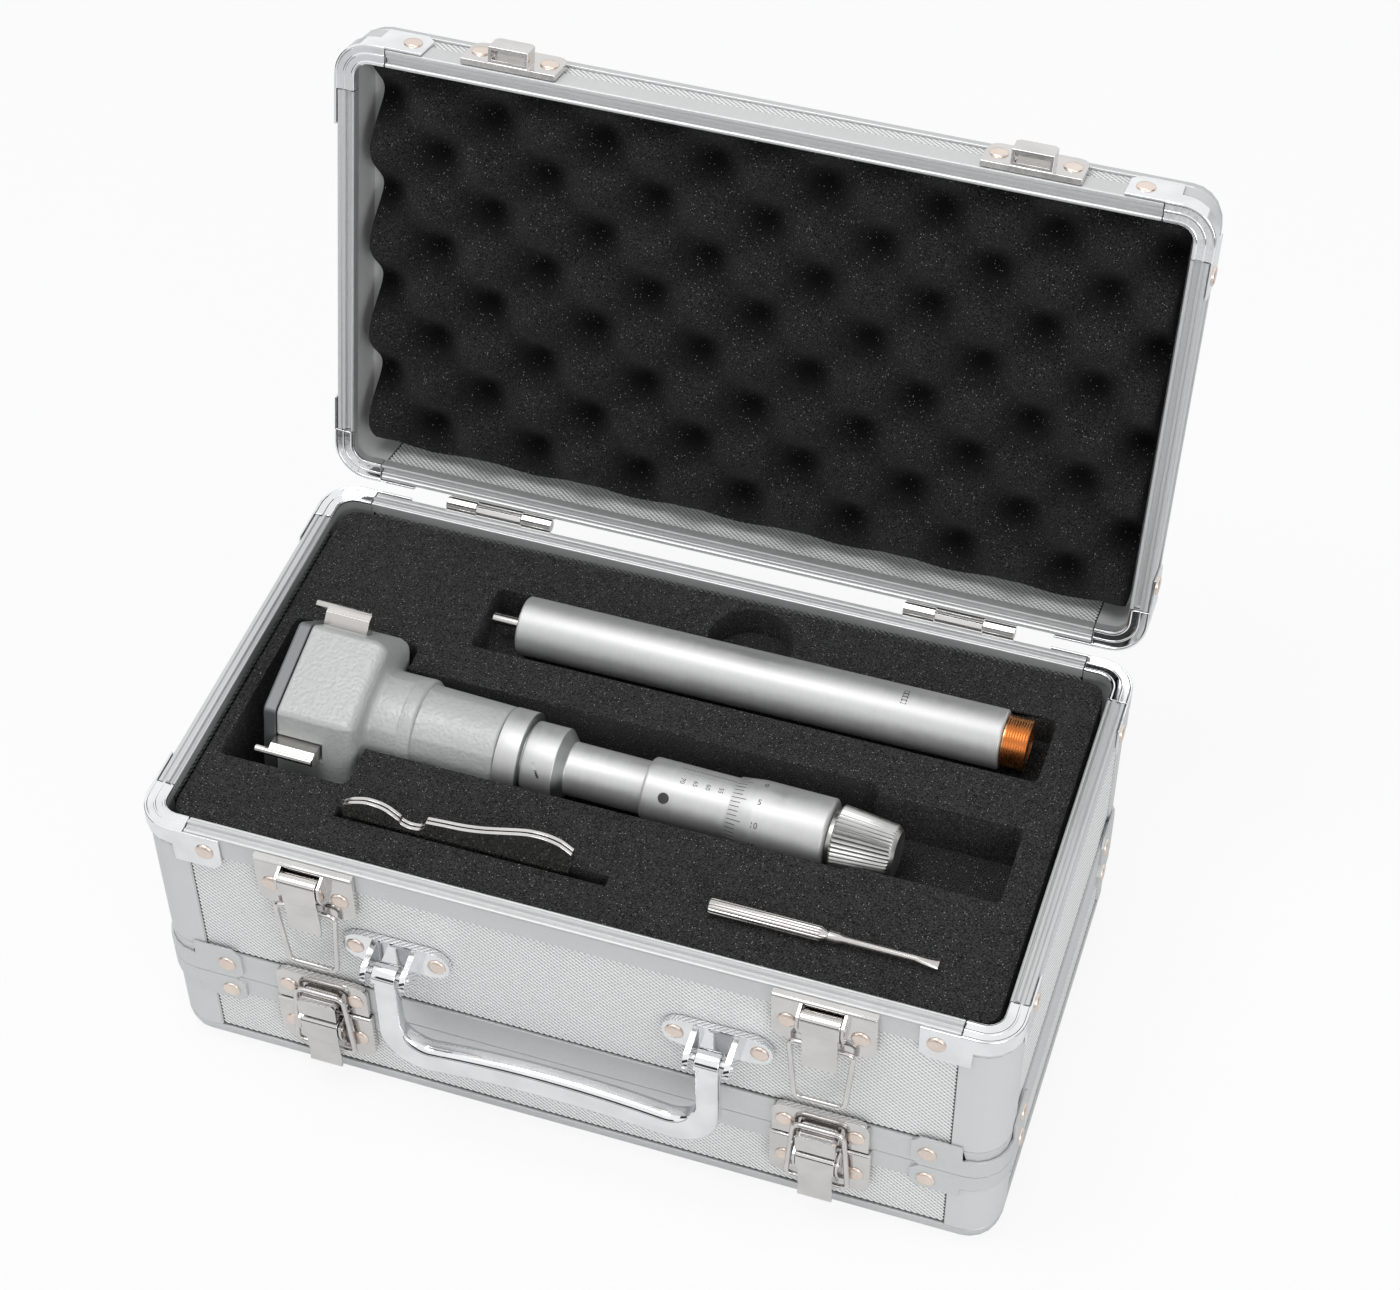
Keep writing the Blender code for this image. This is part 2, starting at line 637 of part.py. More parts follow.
def swept_ring(stations, section):
    """A closed section carried right round the case."""
    rows = []
    for point, inward, by_corner in stations:
        row = []
        for inset, height in section(by_corner):
            place = point + inward * inset
            row.append((place.x, place.y, height))
        rows.append(row)
    return loft(rows + rows[:1], ends=False)


def swept_shell(stations, section):
    """An open section carried right round the case, with flat faces across its two ends."""
    rows = []
    for point, inward, by_corner in stations:
        row = []
        for inset, height in section(by_corner):
            place = point + inward * inset
            row.append((place.x, place.y, height))
        rows.append(row)
    levels = [list(level) for level in zip(*rows)]
    return loft(levels)


def welded(shape):
    """Joins the last row of a ring to its first."""
    bmesh.ops.remove_doubles(shape, verts=shape.verts, dist=CLEARANCE / 100)
    return shape


def rim(plane, upwards, band_height, tongue, capped):
    """A rim extrusion. Its mating plane faces upwards or downwards."""
    turn = 1 if upwards else -1

    def section(by_corner):
        drop = CAP_THICKNESS + CLEARANCE if capped and by_corner else 0
        face = plane - turn * drop
        near = TONGUE_INSET
        far = TONGUE_INSET + TONGUE_WIDTH
        if tongue:
            ridge = face if drop else plane + turn * TONGUE_HEIGHT
        else:
            ridge = plane - turn * GROOVE_DEPTH
            near -= CLEARANCE
            far += CLEARANCE
        return [
            (0, plane - turn * band_height),
            (0, face),
            (near, face),
            (near + TONGUE_DRAFT, ridge),
            (far - TONGUE_DRAFT, ridge),
            (far, face),
            (RIM_WIDTH, face),
            (RIM_WIDTH, plane - turn * RIM_INNER_DEPTH),
            (RIM_WIDTH - RIM_INNER_SKIN, plane - turn * RIM_INNER_DEPTH),
            (RIM_WIDTH - RIM_INNER_SKIN, plane - turn * RIM_WEB),
            (RIM_OUTER_SKIN, plane - turn * RIM_WEB),
            (RIM_OUTER_SKIN, plane - turn * band_height),
        ]

    return welded(swept_ring(outline_stations(capped), section))


def edge_strip(plane, upwards):
    """The strip round an outer edge, quarter round outside and bent to suit inside."""
    turn = 1 if upwards else -1

    def section(by_corner):
        points = [(0, plane + turn * EDGE_HEIGHT)]
        for x, y in arc((EDGE_RADIUS, EDGE_RADIUS), EDGE_RADIUS, math.pi, 1.5 * math.pi, EDGE_STEPS):
            points.append((x, plane + turn * y))
        points.append((EDGE_RADIUS + EDGE_LIP, plane))
        points.append((EDGE_RADIUS + EDGE_LIP, plane + turn * EDGE_SKIN))
        points.append((EDGE_SKIN + EDGE_BEND, plane + turn * EDGE_SKIN))
        points.append((EDGE_SKIN, plane + turn * (EDGE_SKIN + EDGE_BEND)))
        points.append((EDGE_SKIN, plane + turn * EDGE_HEIGHT))
        return points

    return welded(swept_ring(outline_stations(False), section))


def corner_section(plane, turn):
    """Outer end of a base or lid wall: a flat boss, then the bend inside the edge strip."""
    boss = EDGE_RADIUS + EDGE_LIP + CLEARANCE
    seat = plane + turn * (EDGE_SKIN + CLEARANCE)
    bend = EDGE_BEND + CLEARANCE / 2
    return [
        (boss, plane),
        (boss, seat),
        (EDGE_WALL_INSET + bend, seat),
        (EDGE_WALL_INSET, seat + turn * bend),
        (EDGE_WALL_INSET, plane + turn * (EDGE_HEIGHT + CLEARANCE)),
    ]


def box_shell(plane, turn, open_plane, band_height, floor):
    """The wall and floor of the base, or of the lid where turn is -1."""

    def section(by_corner):
        face = 0 if by_corner else PANEL_RECESS
        band = open_plane - turn * (band_height + CLEARANCE)
        lip = open_plane - turn * (RIM_WEB + CLEARANCE)
        return corner_section(plane, turn) + [
            (face, plane + turn * (EDGE_HEIGHT + CLEARANCE)),
            (face, band),
            (WALL_OUTER, band),
            (WALL_OUTER, lip),
            (WALL_INNER, lip),
            (WALL_INNER, floor),
        ]

    return swept_shell(outline_stations(True), section)


def tray_shell():
    def section(by_corner):
        face = 0 if by_corner else PANEL_RECESS
        low_lip = TRAY_BOTTOM + RIM_WEB + CLEARANCE
        low_band = TRAY_BOTTOM + TRAY_LOWER_BAND_HEIGHT + CLEARANCE
        high_band = TRAY_TOP - UPPER_BAND_HEIGHT - CLEARANCE
        high_lip = TRAY_TOP - RIM_WEB - CLEARANCE
        return [
            (WALL_INNER, TRAY_FLOOR_UNDER),
            (WALL_INNER, low_lip),
            (WALL_OUTER, low_lip),
            (WALL_OUTER, low_band),
            (face, low_band),
            (face, high_band),
            (WALL_OUTER, high_band),
            (WALL_OUTER, high_lip),
            (WALL_INNER, high_lip),
            (WALL_INNER, TRAY_FLOOR),
        ]

    return swept_shell(outline_stations(True), section)


def corner_path(quarter):
    """Stations along a corner plate: its end, where it narrows, and round the corner."""
    arc_stations = outline_stations(False)
    first = quarter * (CORNER_STEPS + 1)
    bend = arc_stations[first : first + CORNER_STEPS + 1]
    path = []
    for reach, part in (
        (PLATE_REACH, "end"),
        (PLATE_REACH - PLATE_CHAMFER, "tab"),
        (STRIP_REACH, "tab"),
        (STRIP_REACH - JOINT_STEP, "flanged tab"),
        (PLATE_BEND_REACH + JOINT_STEP, "flanged tab"),
        (PLATE_BEND_REACH, "band"),
    ):
        path.append((reach - CORNER_RADIUS, part))
    before = []
    after = []
    for distance, part in path:
        for (point, inward, _), found, way in ((bend[0], before, -1), (bend[-1], after, 1)):
            along = Vector((inward.y, -inward.x)) * way
            found.append((point + along * distance, inward, part))
    middle = [(point, inward, "band") for point, inward, _ in bend]
    return before + middle + after[::-1]


def corner_cap(quarter, plane, turn):
    """A cap over a rim's corner: tabs and band outside, and a flange on the rim's face."""
    rows = []
    for point, inward, part in corner_path(quarter):
        reach = CAP_BAND_HEIGHT if part == "band" else CAP_TAB_HEIGHT
        if part == "end":
            reach -= PLATE_CHAMFER
        flange = RIM_WIDTH if part in ("band", "flanged tab") else -PLATE_GAP
        lift = CAP_THICKNESS
        section = [
            (-PLATE_GAP - PLATE_THICKNESS, plane - turn * reach),
            (-PLATE_GAP - PLATE_THICKNESS, plane),
            (flange, plane),
            (flange, plane - turn * lift),
            (-PLATE_GAP, plane - turn * (lift + JOINT_STEP)),
            (-PLATE_GAP, plane - turn * reach),
        ]
        row = []
        for inset, height in section:
            place = point + inward * inset
            row.append((place.x, place.y, height))
        rows.append(row)
    return loft(rows)


def seam_plate(quarter, tab_edge, band_edge, mating, rim_edge):
    """A corner plate at the seam, standing off the wall and biting into the rim's band."""
    turn = 1 if tab_edge > mating else -1
    rows = []
    for point, inward, part in corner_path(quarter):
        far = band_edge if part == "band" else tab_edge
        near = mating
        if part == "end":
            far -= turn * PLATE_CHAMFER
            near += turn * PLATE_CHAMFER
        bite = rim_edge if part != "band" else min((rim_edge, band_edge), key=lambda z: z * turn)
        bite -= turn * JOINT_STEP
        section = [
            (-PLATE_GAP - PLATE_THICKNESS, near),
            (-PLATE_GAP - PLATE_THICKNESS, far),
            (-PLATE_GAP, far),
            (-PLATE_GAP, bite),
            (PLATE_BITE, bite - turn * JOINT_STEP),
            (PLATE_BITE, near),
        ]
        row = []
        for inset, height in section:
            place = point + inward * inset
            row.append((place.x, place.y, height))
        rows.append(row)
    return loft(rows)


def hinge_leaf(upwards):
    """A hinge leaf about its own middle. The upper leaf has the middle knuckle, the lower
    leaf has the outer knuckles and the pin."""
    turn = 1 if upwards else -1
    back = -HINGE_OFFSET + CLEARANCE
    front = back + HINGE_LEAF_THICKNESS
    clear = HINGE_KNUCKLE_RADIUS + CLEARANCE
    half = HINGE_LENGTH / 2
    middle = HINGE_MIDDLE_LENGTH / 2
    low, high = sorted((turn * clear, turn * HINGE_LEAF_DEPTH))
    across = Matrix(((0, 0, 1, 0), (1, 0, 0, 0), (0, 1, 0, 0), (0, 0, 0, 1)))
    plate = [(back, low), (front, low), (front, high), (back, high)]
    leaf = placed(prism(plate, -half, half), across)
    reach = sorted((turn * (clear + HINGE_LEAF_THICKNESS), 0))
    tab = [(back, reach[0]), (front, reach[0]), (front, reach[1]), (back, reach[1])]
    spans = [(-middle, middle)]
    if not upwards:
        spans = [(-half, -middle - CLEARANCE), (middle + CLEARANCE, half)]
    joined = []
    for start, end in spans:
        joined.append(placed(prism(tab, start, end), across))
        joined.append(rod(start, end, HINGE_KNUCKLE_RADIUS, HINGE_STEPS))
    removed = []
    if upwards:
        bore = HINGE_PIN_RADIUS + HINGE_PIN_CLEARANCE
        removed.append(rod(-half, half, bore, HINGE_STEPS))
    else:
        inner = half - HINGE_LEAF_THICKNESS
        joined.append(rod(-inner, inner, HINGE_PIN_RADIUS, HINGE_STEPS))
    return combined(leaf, joined, removed)


def latch_plate():
    """A latch's base plate with its two ears and the lever's pin."""
    half = LATCH_PLATE_WIDTH / 2
    corner = LATCH_PLATE_CORNER
    low = -LATCH_PLATE_HEIGHT
    outline = arc((half - corner, low + corner), corner, -math.pi / 2, 0, FOAM_CORNER_STEPS)
    outline += [(half, 0), (-half, 0)]
    outline += arc((-half + corner, low + corner), corner, math.pi, 1.5 * math.pi, FOAM_CORNER_STEPS)
    plate = placed(prism(outline, CLEARANCE, LATCH_PLATE_FRONT), FRONT_FRAME)
    ear = [
        (LATCH_EAR_ROOT, -LATCH_EAR_TOP),
        (LATCH_PLATE_FRONT, -LATCH_EAR_TOP),
        (LATCH_EAR_SHOULDER_OUT, -LATCH_EAR_SHOULDER),
        (LATCH_EAR_OUT, -LATCH_EAR_WAIST),
        (LATCH_EAR_HEEL_OUT, -LATCH_EAR_HEEL),
        (LATCH_PLATE_FRONT, -LATCH_EAR_FOOT),
        (LATCH_EAR_ROOT, -LATCH_EAR_FOOT),
    ]
    inner = LATCH_EAR_INNER
    outer = inner + LATCH_EAR_THICKNESS
    joined = [placed(prism(ear, start, end), SIDE_FRAME) for start, end in ((inner, outer), (-outer, -inner))]
    pin = rod(-outer - CLEARANCE, outer + CLEARANCE, LATCH_PIN_RADIUS, PIN_STEPS)
    joined.append(placed(pin, Matrix.Translation((0, -LATCH_PIVOT_OUT, -LATCH_PIVOT_DROP))))
    return combined(plate, joined)


def latch_lever():
    """A latch lever: a solid head round the pin, and a channel-shaped tail with a lip."""
    head = [
        (LEVER_BACK, -LEVER_TOP),
        (LEVER_FRONT, -LEVER_TOP),
        (LEVER_FRONT, -LEVER_HEAD_END),
        (LEVER_TAIL_FRONT - LEVER_SKIN, -LEVER_HEAD_END),
        (LEVER_BACK, -LEVER_HEAD_BACK_END),
    ]
    skin = [
        (LEVER_TAIL_FRONT, -LEVER_HEAD_BACK_END),
        (LEVER_TAIL_LOW_FRONT, -LEVER_TAIL_END),
        (LEVER_LIP_OUT, -LEVER_LIP_END),
        (LEVER_LIP_OUT - LEVER_SKIN, -LEVER_LIP_END),
        (LEVER_TAIL_LOW_FRONT - LEVER_SKIN, -LEVER_TAIL_END),
        (LEVER_TAIL_FRONT - LEVER_SKIN, -LEVER_HEAD_BACK_END),
    ]
    cheek = [
        (LEVER_BACK, -LEVER_CHEEK_TOP),
        (LEVER_TAIL_FRONT - LEVER_SKIN / 2, -LEVER_CHEEK_TOP),
        (LEVER_TAIL_LOW_FRONT - LEVER_SKIN / 2, -LEVER_CHEEK_END),
        (LEVER_CHEEK_BACK, -LEVER_CHEEK_END),
        (LEVER_CHEEK_BACK, -LEVER_HEAD_END),
    ]
    outer = LEVER_TAIL_HALF_WIDTH
    inner = outer - LEVER_CHEEK_THICKNESS
    body = placed(prism(head, -LEVER_HALF_WIDTH, LEVER_HALF_WIDTH), SIDE_FRAME)
    joined = [placed(prism(skin, -outer, outer), SIDE_FRAME)]
    for start, end in ((inner, outer), (-outer, -inner)):
        joined.append(placed(prism(cheek, start, end), SIDE_FRAME))
    removed = []
    for radius, out, drop in (
        (LATCH_PIN_RADIUS + LATCH_PIN_CLEARANCE, LATCH_PIVOT_OUT, LATCH_PIVOT_DROP),
        (BAIL_RADIUS + BAIL_CLEARANCE, BAIL_HOLE_OUT, BAIL_HOLE_DROP),
    ):
        hole = rod(-LATCH_PLATE_WIDTH / 2, LATCH_PLATE_WIDTH / 2, radius, PIN_STEPS)
        removed.append(placed(hole, Matrix.Translation((0, -out, -drop))))
    return combined(body, joined, removed)


def latch_bail(turn):
    """A wire bail about the middle of its holes, reaching up or down."""
    corner = BAIL_BEND
    half = BAIL_HALF_WIDTH
    bar = BAIL_BAR_HALF_WIDTH
    length = BAIL_LENGTH
    path = [(BAIL_INNER_END, 0)]
    path += arc((half - corner, corner), corner, -math.pi / 2, 0, BAIL_STEPS)
    path += arc((bar - corner, length - corner), corner, 0, math.pi / 2, BAIL_STEPS)
    path += [(-x, y) for x, y in path[::-1]]
    path = [(x, turn * y) for x, y in path]
    return placed(wire(path, BAIL_RADIUS, BAIL_SIDES), FRONT_FRAME)


def keeper():
    """A keeper plate with its raised hook, hollow towards the seam, above height zero."""
    half = KEEPER_WIDTH / 2
    corner = KEEPER_CORNER
    low = KEEPER_RISE
    high = low + KEEPER_HEIGHT
    outline = [(-half, low), (half, low)]
    outline += arc((half - corner, high - corner), corner, 0, math.pi / 2, FOAM_CORNER_STEPS)
    outline += arc((-half + corner, high - corner), corner, math.pi / 2, math.pi, FOAM_CORNER_STEPS)
    plate = placed(prism(outline, CLEARANCE, LATCH_PLATE_FRONT), FRONT_FRAME)
    top = BAIL_LENGTH - BAIL_HOLE_DROP - BAIL_RADIUS - CLEARANCE
    width = HOOK_HALF_WIDTH
    cut = HOOK_CHAMFER
    face = [(-width, HOOK_RISE), (width, HOOK_RISE), (width, top - cut), (width - cut, top)]
    face += [(-width + cut, top), (-width, top - cut)]
    hook = placed(prism(face, LATCH_EAR_ROOT, HOOK_FRONT), FRONT_FRAME)
    inside = width - HOOK_WALL
    back = LATCH_PLATE_FRONT + HOOK_WALL
    front = HOOK_FRONT - HOOK_WALL
    depth = HOOK_RISE + HOOK_POCKET_DEPTH
    hollow = [(-inside, 0), (inside, 0), (inside, depth), (-inside, depth)]
    hollow = placed(prism(hollow, back, front), FRONT_FRAME)
    return combined(plate, [hook], [hollow])


def handle():
    """The carrying handle about its pin's middle, hanging down."""
    leg = HANDLE_LEG_SPACING / 2
    outer = leg + HANDLE_LEG_WIDTH / 2
    inner = leg - HANDLE_LEG_WIDTH / 2
    low = -HANDLE_END_DROP
    high = low + HANDLE_GRIP_HEIGHT
    quarter = math.pi / 2
    half = [(outer, 0)]
    round_out = HANDLE_OUTER_RADIUS
    half += arc((outer - round_out, low + round_out), round_out, 0, -quarter, HANDLE_CORNER_STEPS)
    edge = outer - round_out
    for step in range(1, HANDLE_ARCH_STEPS):
        x = edge * (1 - step / HANDLE_ARCH_STEPS)
        half.append((x, low + HANDLE_ARCH * (1 - (x / edge) ** 2)))
    under = half + [(0, low + HANDLE_ARCH)] + [(-x, y) for x, y in half[::-1]]
    round_in = HANDLE_INNER_RADIUS
    half = [(inner, 0)]
    half += arc((inner - round_in, high + round_in), round_in, 0, -quarter, HANDLE_CORNER_STEPS)
    edge = inner - round_in
    for step in range(1, HANDLE_ARCH_STEPS):
        x = edge * (1 - step / HANDLE_ARCH_STEPS)
        half.append((x, high + HANDLE_ARCH * (1 - (x / edge) ** 2)))
    over = half + [(0, high + HANDLE_ARCH)] + [(-x, y) for x, y in half[::-1]]
    loop = prism(under + over[::-1], HANDLE_BACK, HANDLE_FRONT)
    long_edges = [edge for edge in loop.edges if edge.verts[0].co.z == edge.verts[1].co.z]
    long_edges = [edge for edge in long_edges if min(v.co.y for v in edge.verts) < 0]
    bmesh.ops.bevel(
        loop, geom=long_edges, offset=HANDLE_EDGE_BEVEL, segments=2, profile=0.5, affect="EDGES"
    )
    loop = placed(loop, FRONT_FRAME)
    joined = []
    for side in (-1, 1):
        reach = HANDLE_LEG_WIDTH / 2 + HANDLE_KNUCKLE_PROUD
        middle = side * leg
        knuckle = rod(middle - reach, middle + reach, HANDLE_KNUCKLE_RADIUS, 2 * PIN_STEPS)
        joined.append(placed(knuckle, Matrix.Translation((0, -HANDLE_PIN_OUT, 0))))
    bore_radius = BRACKET_PIN_RADIUS + HANDLE_PIN_CLEARANCE
    bore = rod(-outer - CLEARANCE, outer + CLEARANCE, bore_radius, PIN_STEPS)
    bore = placed(bore, Matrix.Translation((0, -HANDLE_PIN_OUT, 0)))
    return combined(loop, joined, [bore])


def handle_bracket():
    """A round-ended bracket plate with two ears and the pin that a handle leg turns on."""
    radius = BRACKET_HEIGHT / 2
    half = BRACKET_LENGTH / 2
    quarter = math.pi / 2
    outline = arc((half - radius, 0), radius, -quarter, quarter, 2 * FOAM_CORNER_STEPS)
    outline += arc((-half + radius, 0), radius, quarter, 3 * quarter, 2 * FOAM_CORNER_STEPS)
    front = CLEARANCE + BRACKET_THICKNESS
    plate = placed(prism(outline, CLEARANCE - PANEL_RECESS, front), FRONT_FRAME)
    ear = [(BRACKET_THICKNESS, radius - CLEARANCE), (BRACKET_THICKNESS, CLEARANCE - radius)]
    ear += arc((HANDLE_PIN_OUT, 0), BRACKET_EAR_RADIUS, -quarter, quarter, 2 * FOAM_CORNER_STEPS)
    joined = []
    inner = BRACKET_EAR_INNER
    outer = inner + BRACKET_EAR_THICKNESS
    for start, end in ((inner, outer), (-outer, -inner)):
        joined.append(placed(prism(ear, start, end), SIDE_FRAME))
    pin = rod(-outer - CLEARANCE, outer + CLEARANCE, BRACKET_PIN_RADIUS, PIN_STEPS)
    joined.append(placed(pin, Matrix.Translation((0, -HANDLE_PIN_OUT, 0))))
    return combined(plate, joined)


def foam_block(inset, low, high):
    half_x = CASE_LENGTH / 2 - inset
    half_y = CASE_WIDTH / 2 - inset
    outline = rounded_box(-half_x, half_x, -half_y, half_y, FOAM_CORNER, FOAM_CORNER_STEPS)
    return prism(outline, low, high)


def lobe_stations(half_length, start, step):
    """Places across the pad: its edges, and each lobe's top, pit and the saddles between."""
    places = [-half_length]
    half_step = step / 2
    first = math.ceil((-half_length - start) / half_step)
    last = math.floor((half_length - start) / half_step)
    for index in range(first, last + 1):
        place = start + index * half_step
        if abs(place) < half_length - POCKET_CORNER / 2:
            places.append(place)
    places.append(half_length)
    return places


def egg_crate(back):
    """The lid's pad: a flat back, and lobes that stand half a step over in each next row."""
    columns = lobe_stations(CASE_LENGTH / 2 - LID_FOAM_INSET, LOBE_START_X, LOBE_STEP_X)
    rows = lobe_stations(CASE_WIDTH / 2 - LID_FOAM_INSET, LOBE_START_Y, LOBE_STEP_Y)
    shape = bmesh.new()
    grid = []
    for y in rows:
        row = []
        for x in columns:
            wave = math.cos(math.pi * (x - LOBE_START_X) / LOBE_STEP_X)
            wave *= math.cos(math.pi * (y - LOBE_START_Y) / LOBE_STEP_Y)
            row.append(shape.verts.new((x, y, LID_FOAM_PIT - LOBE_DEPTH * (1 + wave) / 2)))
        grid.append(row)
    for row, following in zip(grid, grid[1:]):
        for index in range(len(columns) - 1):
            shape.faces.new((row[index], row[index + 1], following[index + 1], following[index]))
    corners = []
    for vert in (grid[0][0], grid[0][-1], grid[-1][-1], grid[-1][0]):
        corners.append(shape.verts.new((vert.co.x, vert.co.y, back)))
    edges = (grid[0], [row[-1] for row in grid], grid[-1][::-1], [row[0] for row in grid[::-1]])
    for index, edge in enumerate(edges):
        shape.faces.new((*edge, corners[(index + 1) % 4], corners[index]))
    shape.faces.new(corners)
    return shape


def pocket(left, right, front, back, floor):
    outline = rounded_box(left, right, front, back, POCKET_CORNER, FOAM_CORNER_STEPS)
    return prism(outline, floor, TRAY_TOP)


def tray_foam():
    """The foam insert with its pockets: head, barrel, extension, finger notch and slit."""
    block = foam_block(FOAM_INSET, TRAY_FLOOR + CLEARANCE, FOAM_TOP)
    slit_front = WRENCH_Y - SLIT_WIDTH / 2
    slit_outline = [
        (SLIT_LEFT, slit_front),
        (SLIT_RIGHT, slit_front),
        (SLIT_RIGHT, slit_front + SLIT_WIDTH),
        (SLIT_LEFT, slit_front + SLIT_WIDTH),
    ]
    notch_outline = arc((NOTCH_X, NOTCH_Y), NOTCH_RADIUS, 0, 2 * math.pi, NOTCH_STEPS)[:-1]
    front = BARREL_POCKET_FRONT
    back = BARREL_POCKET_BACK
    pockets = [
        pocket(BARREL_POCKET_LEFT, BARREL_POCKET_RIGHT, front, back, BARREL_FLOOR),
        pocket(KNOB_POCKET_LEFT, KNOB_POCKET_RIGHT, KNOB_POCKET_FRONT, KNOB_POCKET_BACK, BARREL_FLOOR),
        pocket(BARREL_POCKET_LEFT, NECK_POCKET_RIGHT, front, back, NECK_FLOOR),
        pocket(HEAD_POCKET_LEFT, HEAD_POCKET_RIGHT, HEAD_POCKET_FRONT, HEAD_POCKET_BACK, HEAD_FLOOR),
        pocket(TUBE_POCKET_LEFT, TUBE_POCKET_RIGHT, TUBE_POCKET_FRONT, TUBE_POCKET_BACK, TUBE_FLOOR),
        prism(notch_outline, TUBE_FLOOR + CLEARANCE, TRAY_TOP),
        prism(slit_outline, SLIT_FLOOR, TRAY_TOP),
    ]
    return combined(block, removed=pockets)


def head_outline(roll, shrink):
    """The micrometer head's section: six sides, wide ones between the anvils' sides."""
    wide = HEAD_WIDE_FACE * shrink
    narrow = HEAD_ANVIL_FACE * shrink
    sixth = math.pi / 3
    corners = []
    for side in range(6):
        first = wide if side % 2 == 0 else narrow
        second = narrow if side % 2 == 0 else wide
        turn = roll + side * sixth
        # Where this side's line meets the next side's line.
        along = (second - first * math.cos(sixth)) / math.sin(sixth)
        y = first * math.cos(turn) - along * math.sin(turn)
        z = first * math.sin(turn) + along * math.cos(turn)
        corners.append((Vector((y, z)), turn))
    bends = []
    for corner, turn in corners:
        bisector = turn + sixth / 2
        radius = HEAD_CORNER_RADIUS * shrink
        out = Vector((math.cos(bisector), math.sin(bisector)))
        centre = corner - out * radius / math.cos(sixth / 2)
        bends.append(arc(centre, radius, turn, turn + sixth, HEAD_CORNER_STEPS))
    points = []
    for bend, following in zip(bends, bends[1:] + bends[:1]):
        points += bend
        for step in range(1, HEAD_SIDE_STEPS):
            share = step / HEAD_SIDE_STEPS
            points.append(Vector(bend[-1]).lerp(Vector(following[0]), share))
    return points


def along_micrometer(shape):
    """Turns a shape about the X axis onto the micrometer's axis."""
    place = Vector((MICROMETER_LEFT, MICROMETER_LEFT_Y, MICROMETER_Z))
    frame = Matrix.Translation(place) @ Matrix.Rotation(MICROMETER_ANGLE, 4, "Z")
    return placed(shape, frame)


def anvil_shape(inner, thickness, start, end, nose):
    """A plate standing out from the axis along Y, between two places along X."""
    half = thickness / 2
    outer = ANVIL_OUTER
    if nose:
        tip = ANVIL_NOSE_THICKNESS / 2
        outline = [(inner, -half), (outer - nose, -half), (outer, -tip)]
        outline += [(outer, tip), (outer - nose, half), (inner, half)]
    else:
        outline = [(inner, -half), (outer, -half), (outer, half), (inner, half)]
    turned = Matrix(((0, 0, 1, 0), (1, 0, 0, 0), (0, 1, 0, 0), (0, 0, 0, 1)))
    return placed(prism(outline, start, end), turned)


def anvil_turns():
    """The direction of each anvil about the axis, measured from +Y."""
    return [MICROMETER_ROLL - math.pi / 3 + index * 2 * math.pi / 3 for index in range(3)]


def micrometer_housing():
    """The head block with its three anvil slots, running into the two necks."""
    begin = COVER_THICKNESS + CLEARANCE
    rows = []
    for along, shrink in (
        (begin, 1),
        (HEAD_END - HEAD_SHOULDER, 1),
        (HEAD_END - HEAD_SHOULDER / 3, (2 + HEAD_SHOULDER_DROP_SHARE) / 3),
        (HEAD_END, HEAD_SHOULDER_DROP_SHARE),
    ):
        rows.append([(along, y, z) for y, z in head_outline(MICROMETER_ROLL, shrink)])
    angles = [math.atan2(z, y) for _, y, z in rows[-1]]
    for along, radius in (
        (HEAD_END, NECK_RADIUS + NECK_FILLET),
        (HEAD_END + NECK_FILLET, NECK_RADIUS),
        (NECK_END - NECK_FILLET, NECK_RADIUS),
        (NECK_END, NECK_RADIUS - NECK_FILLET / 2),
        (NECK_STEP_END, WAIST_RADIUS),
        (WAIST_END, WAIST_END_RADIUS),
    ):
        rows.append([(along, radius * math.cos(turn), radius * math.sin(turn)) for turn in angles])
    body = loft(rows)
    slots = []
    for turn in anvil_turns():
        width = ANVIL_THICKNESS + 2 * CLEARANCE
        end = ANVIL_START + ANVIL_LENGTH + CLEARANCE
        slot = anvil_shape(ANVIL_SLOT_BOTTOM, width, begin - CLEARANCE, end, 0)
        slots.append(placed(slot, Matrix.Rotation(turn, 4, "X")))
    return along_micrometer(combined(body, removed=slots))


def micrometer_cover():
    face = 1 - COVER_CHAMFER / HEAD_WIDE_FACE
    rows = []
    for along, shrink in ((0, face), (COVER_CHAMFER, 1), (COVER_THICKNESS, 1)):
        rows.append([(along, y, z) for y, z in head_outline(MICROMETER_ROLL, shrink)])
    return along_micrometer(loft(rows))


def micrometer_anvil(turn):
    end = ANVIL_START + ANVIL_LENGTH
    plate = anvil_shape(ANVIL_INNER, ANVIL_THICKNESS, ANVIL_START, end, ANVIL_NOSE)
    pin = rod(ANVIL_START - ANVIL_PIN_OVERHANG, end - CLEARANCE, ANVIL_PIN_RADIUS, PIN_STEPS)
    pin = placed(pin, Matrix.Translation((0, ANVIL_PIN_CENTRE, 0)))
    anvil = combined(plate, [pin])
    return along_micrometer(placed(anvil, Matrix.Rotation(turn, 4, "X")))


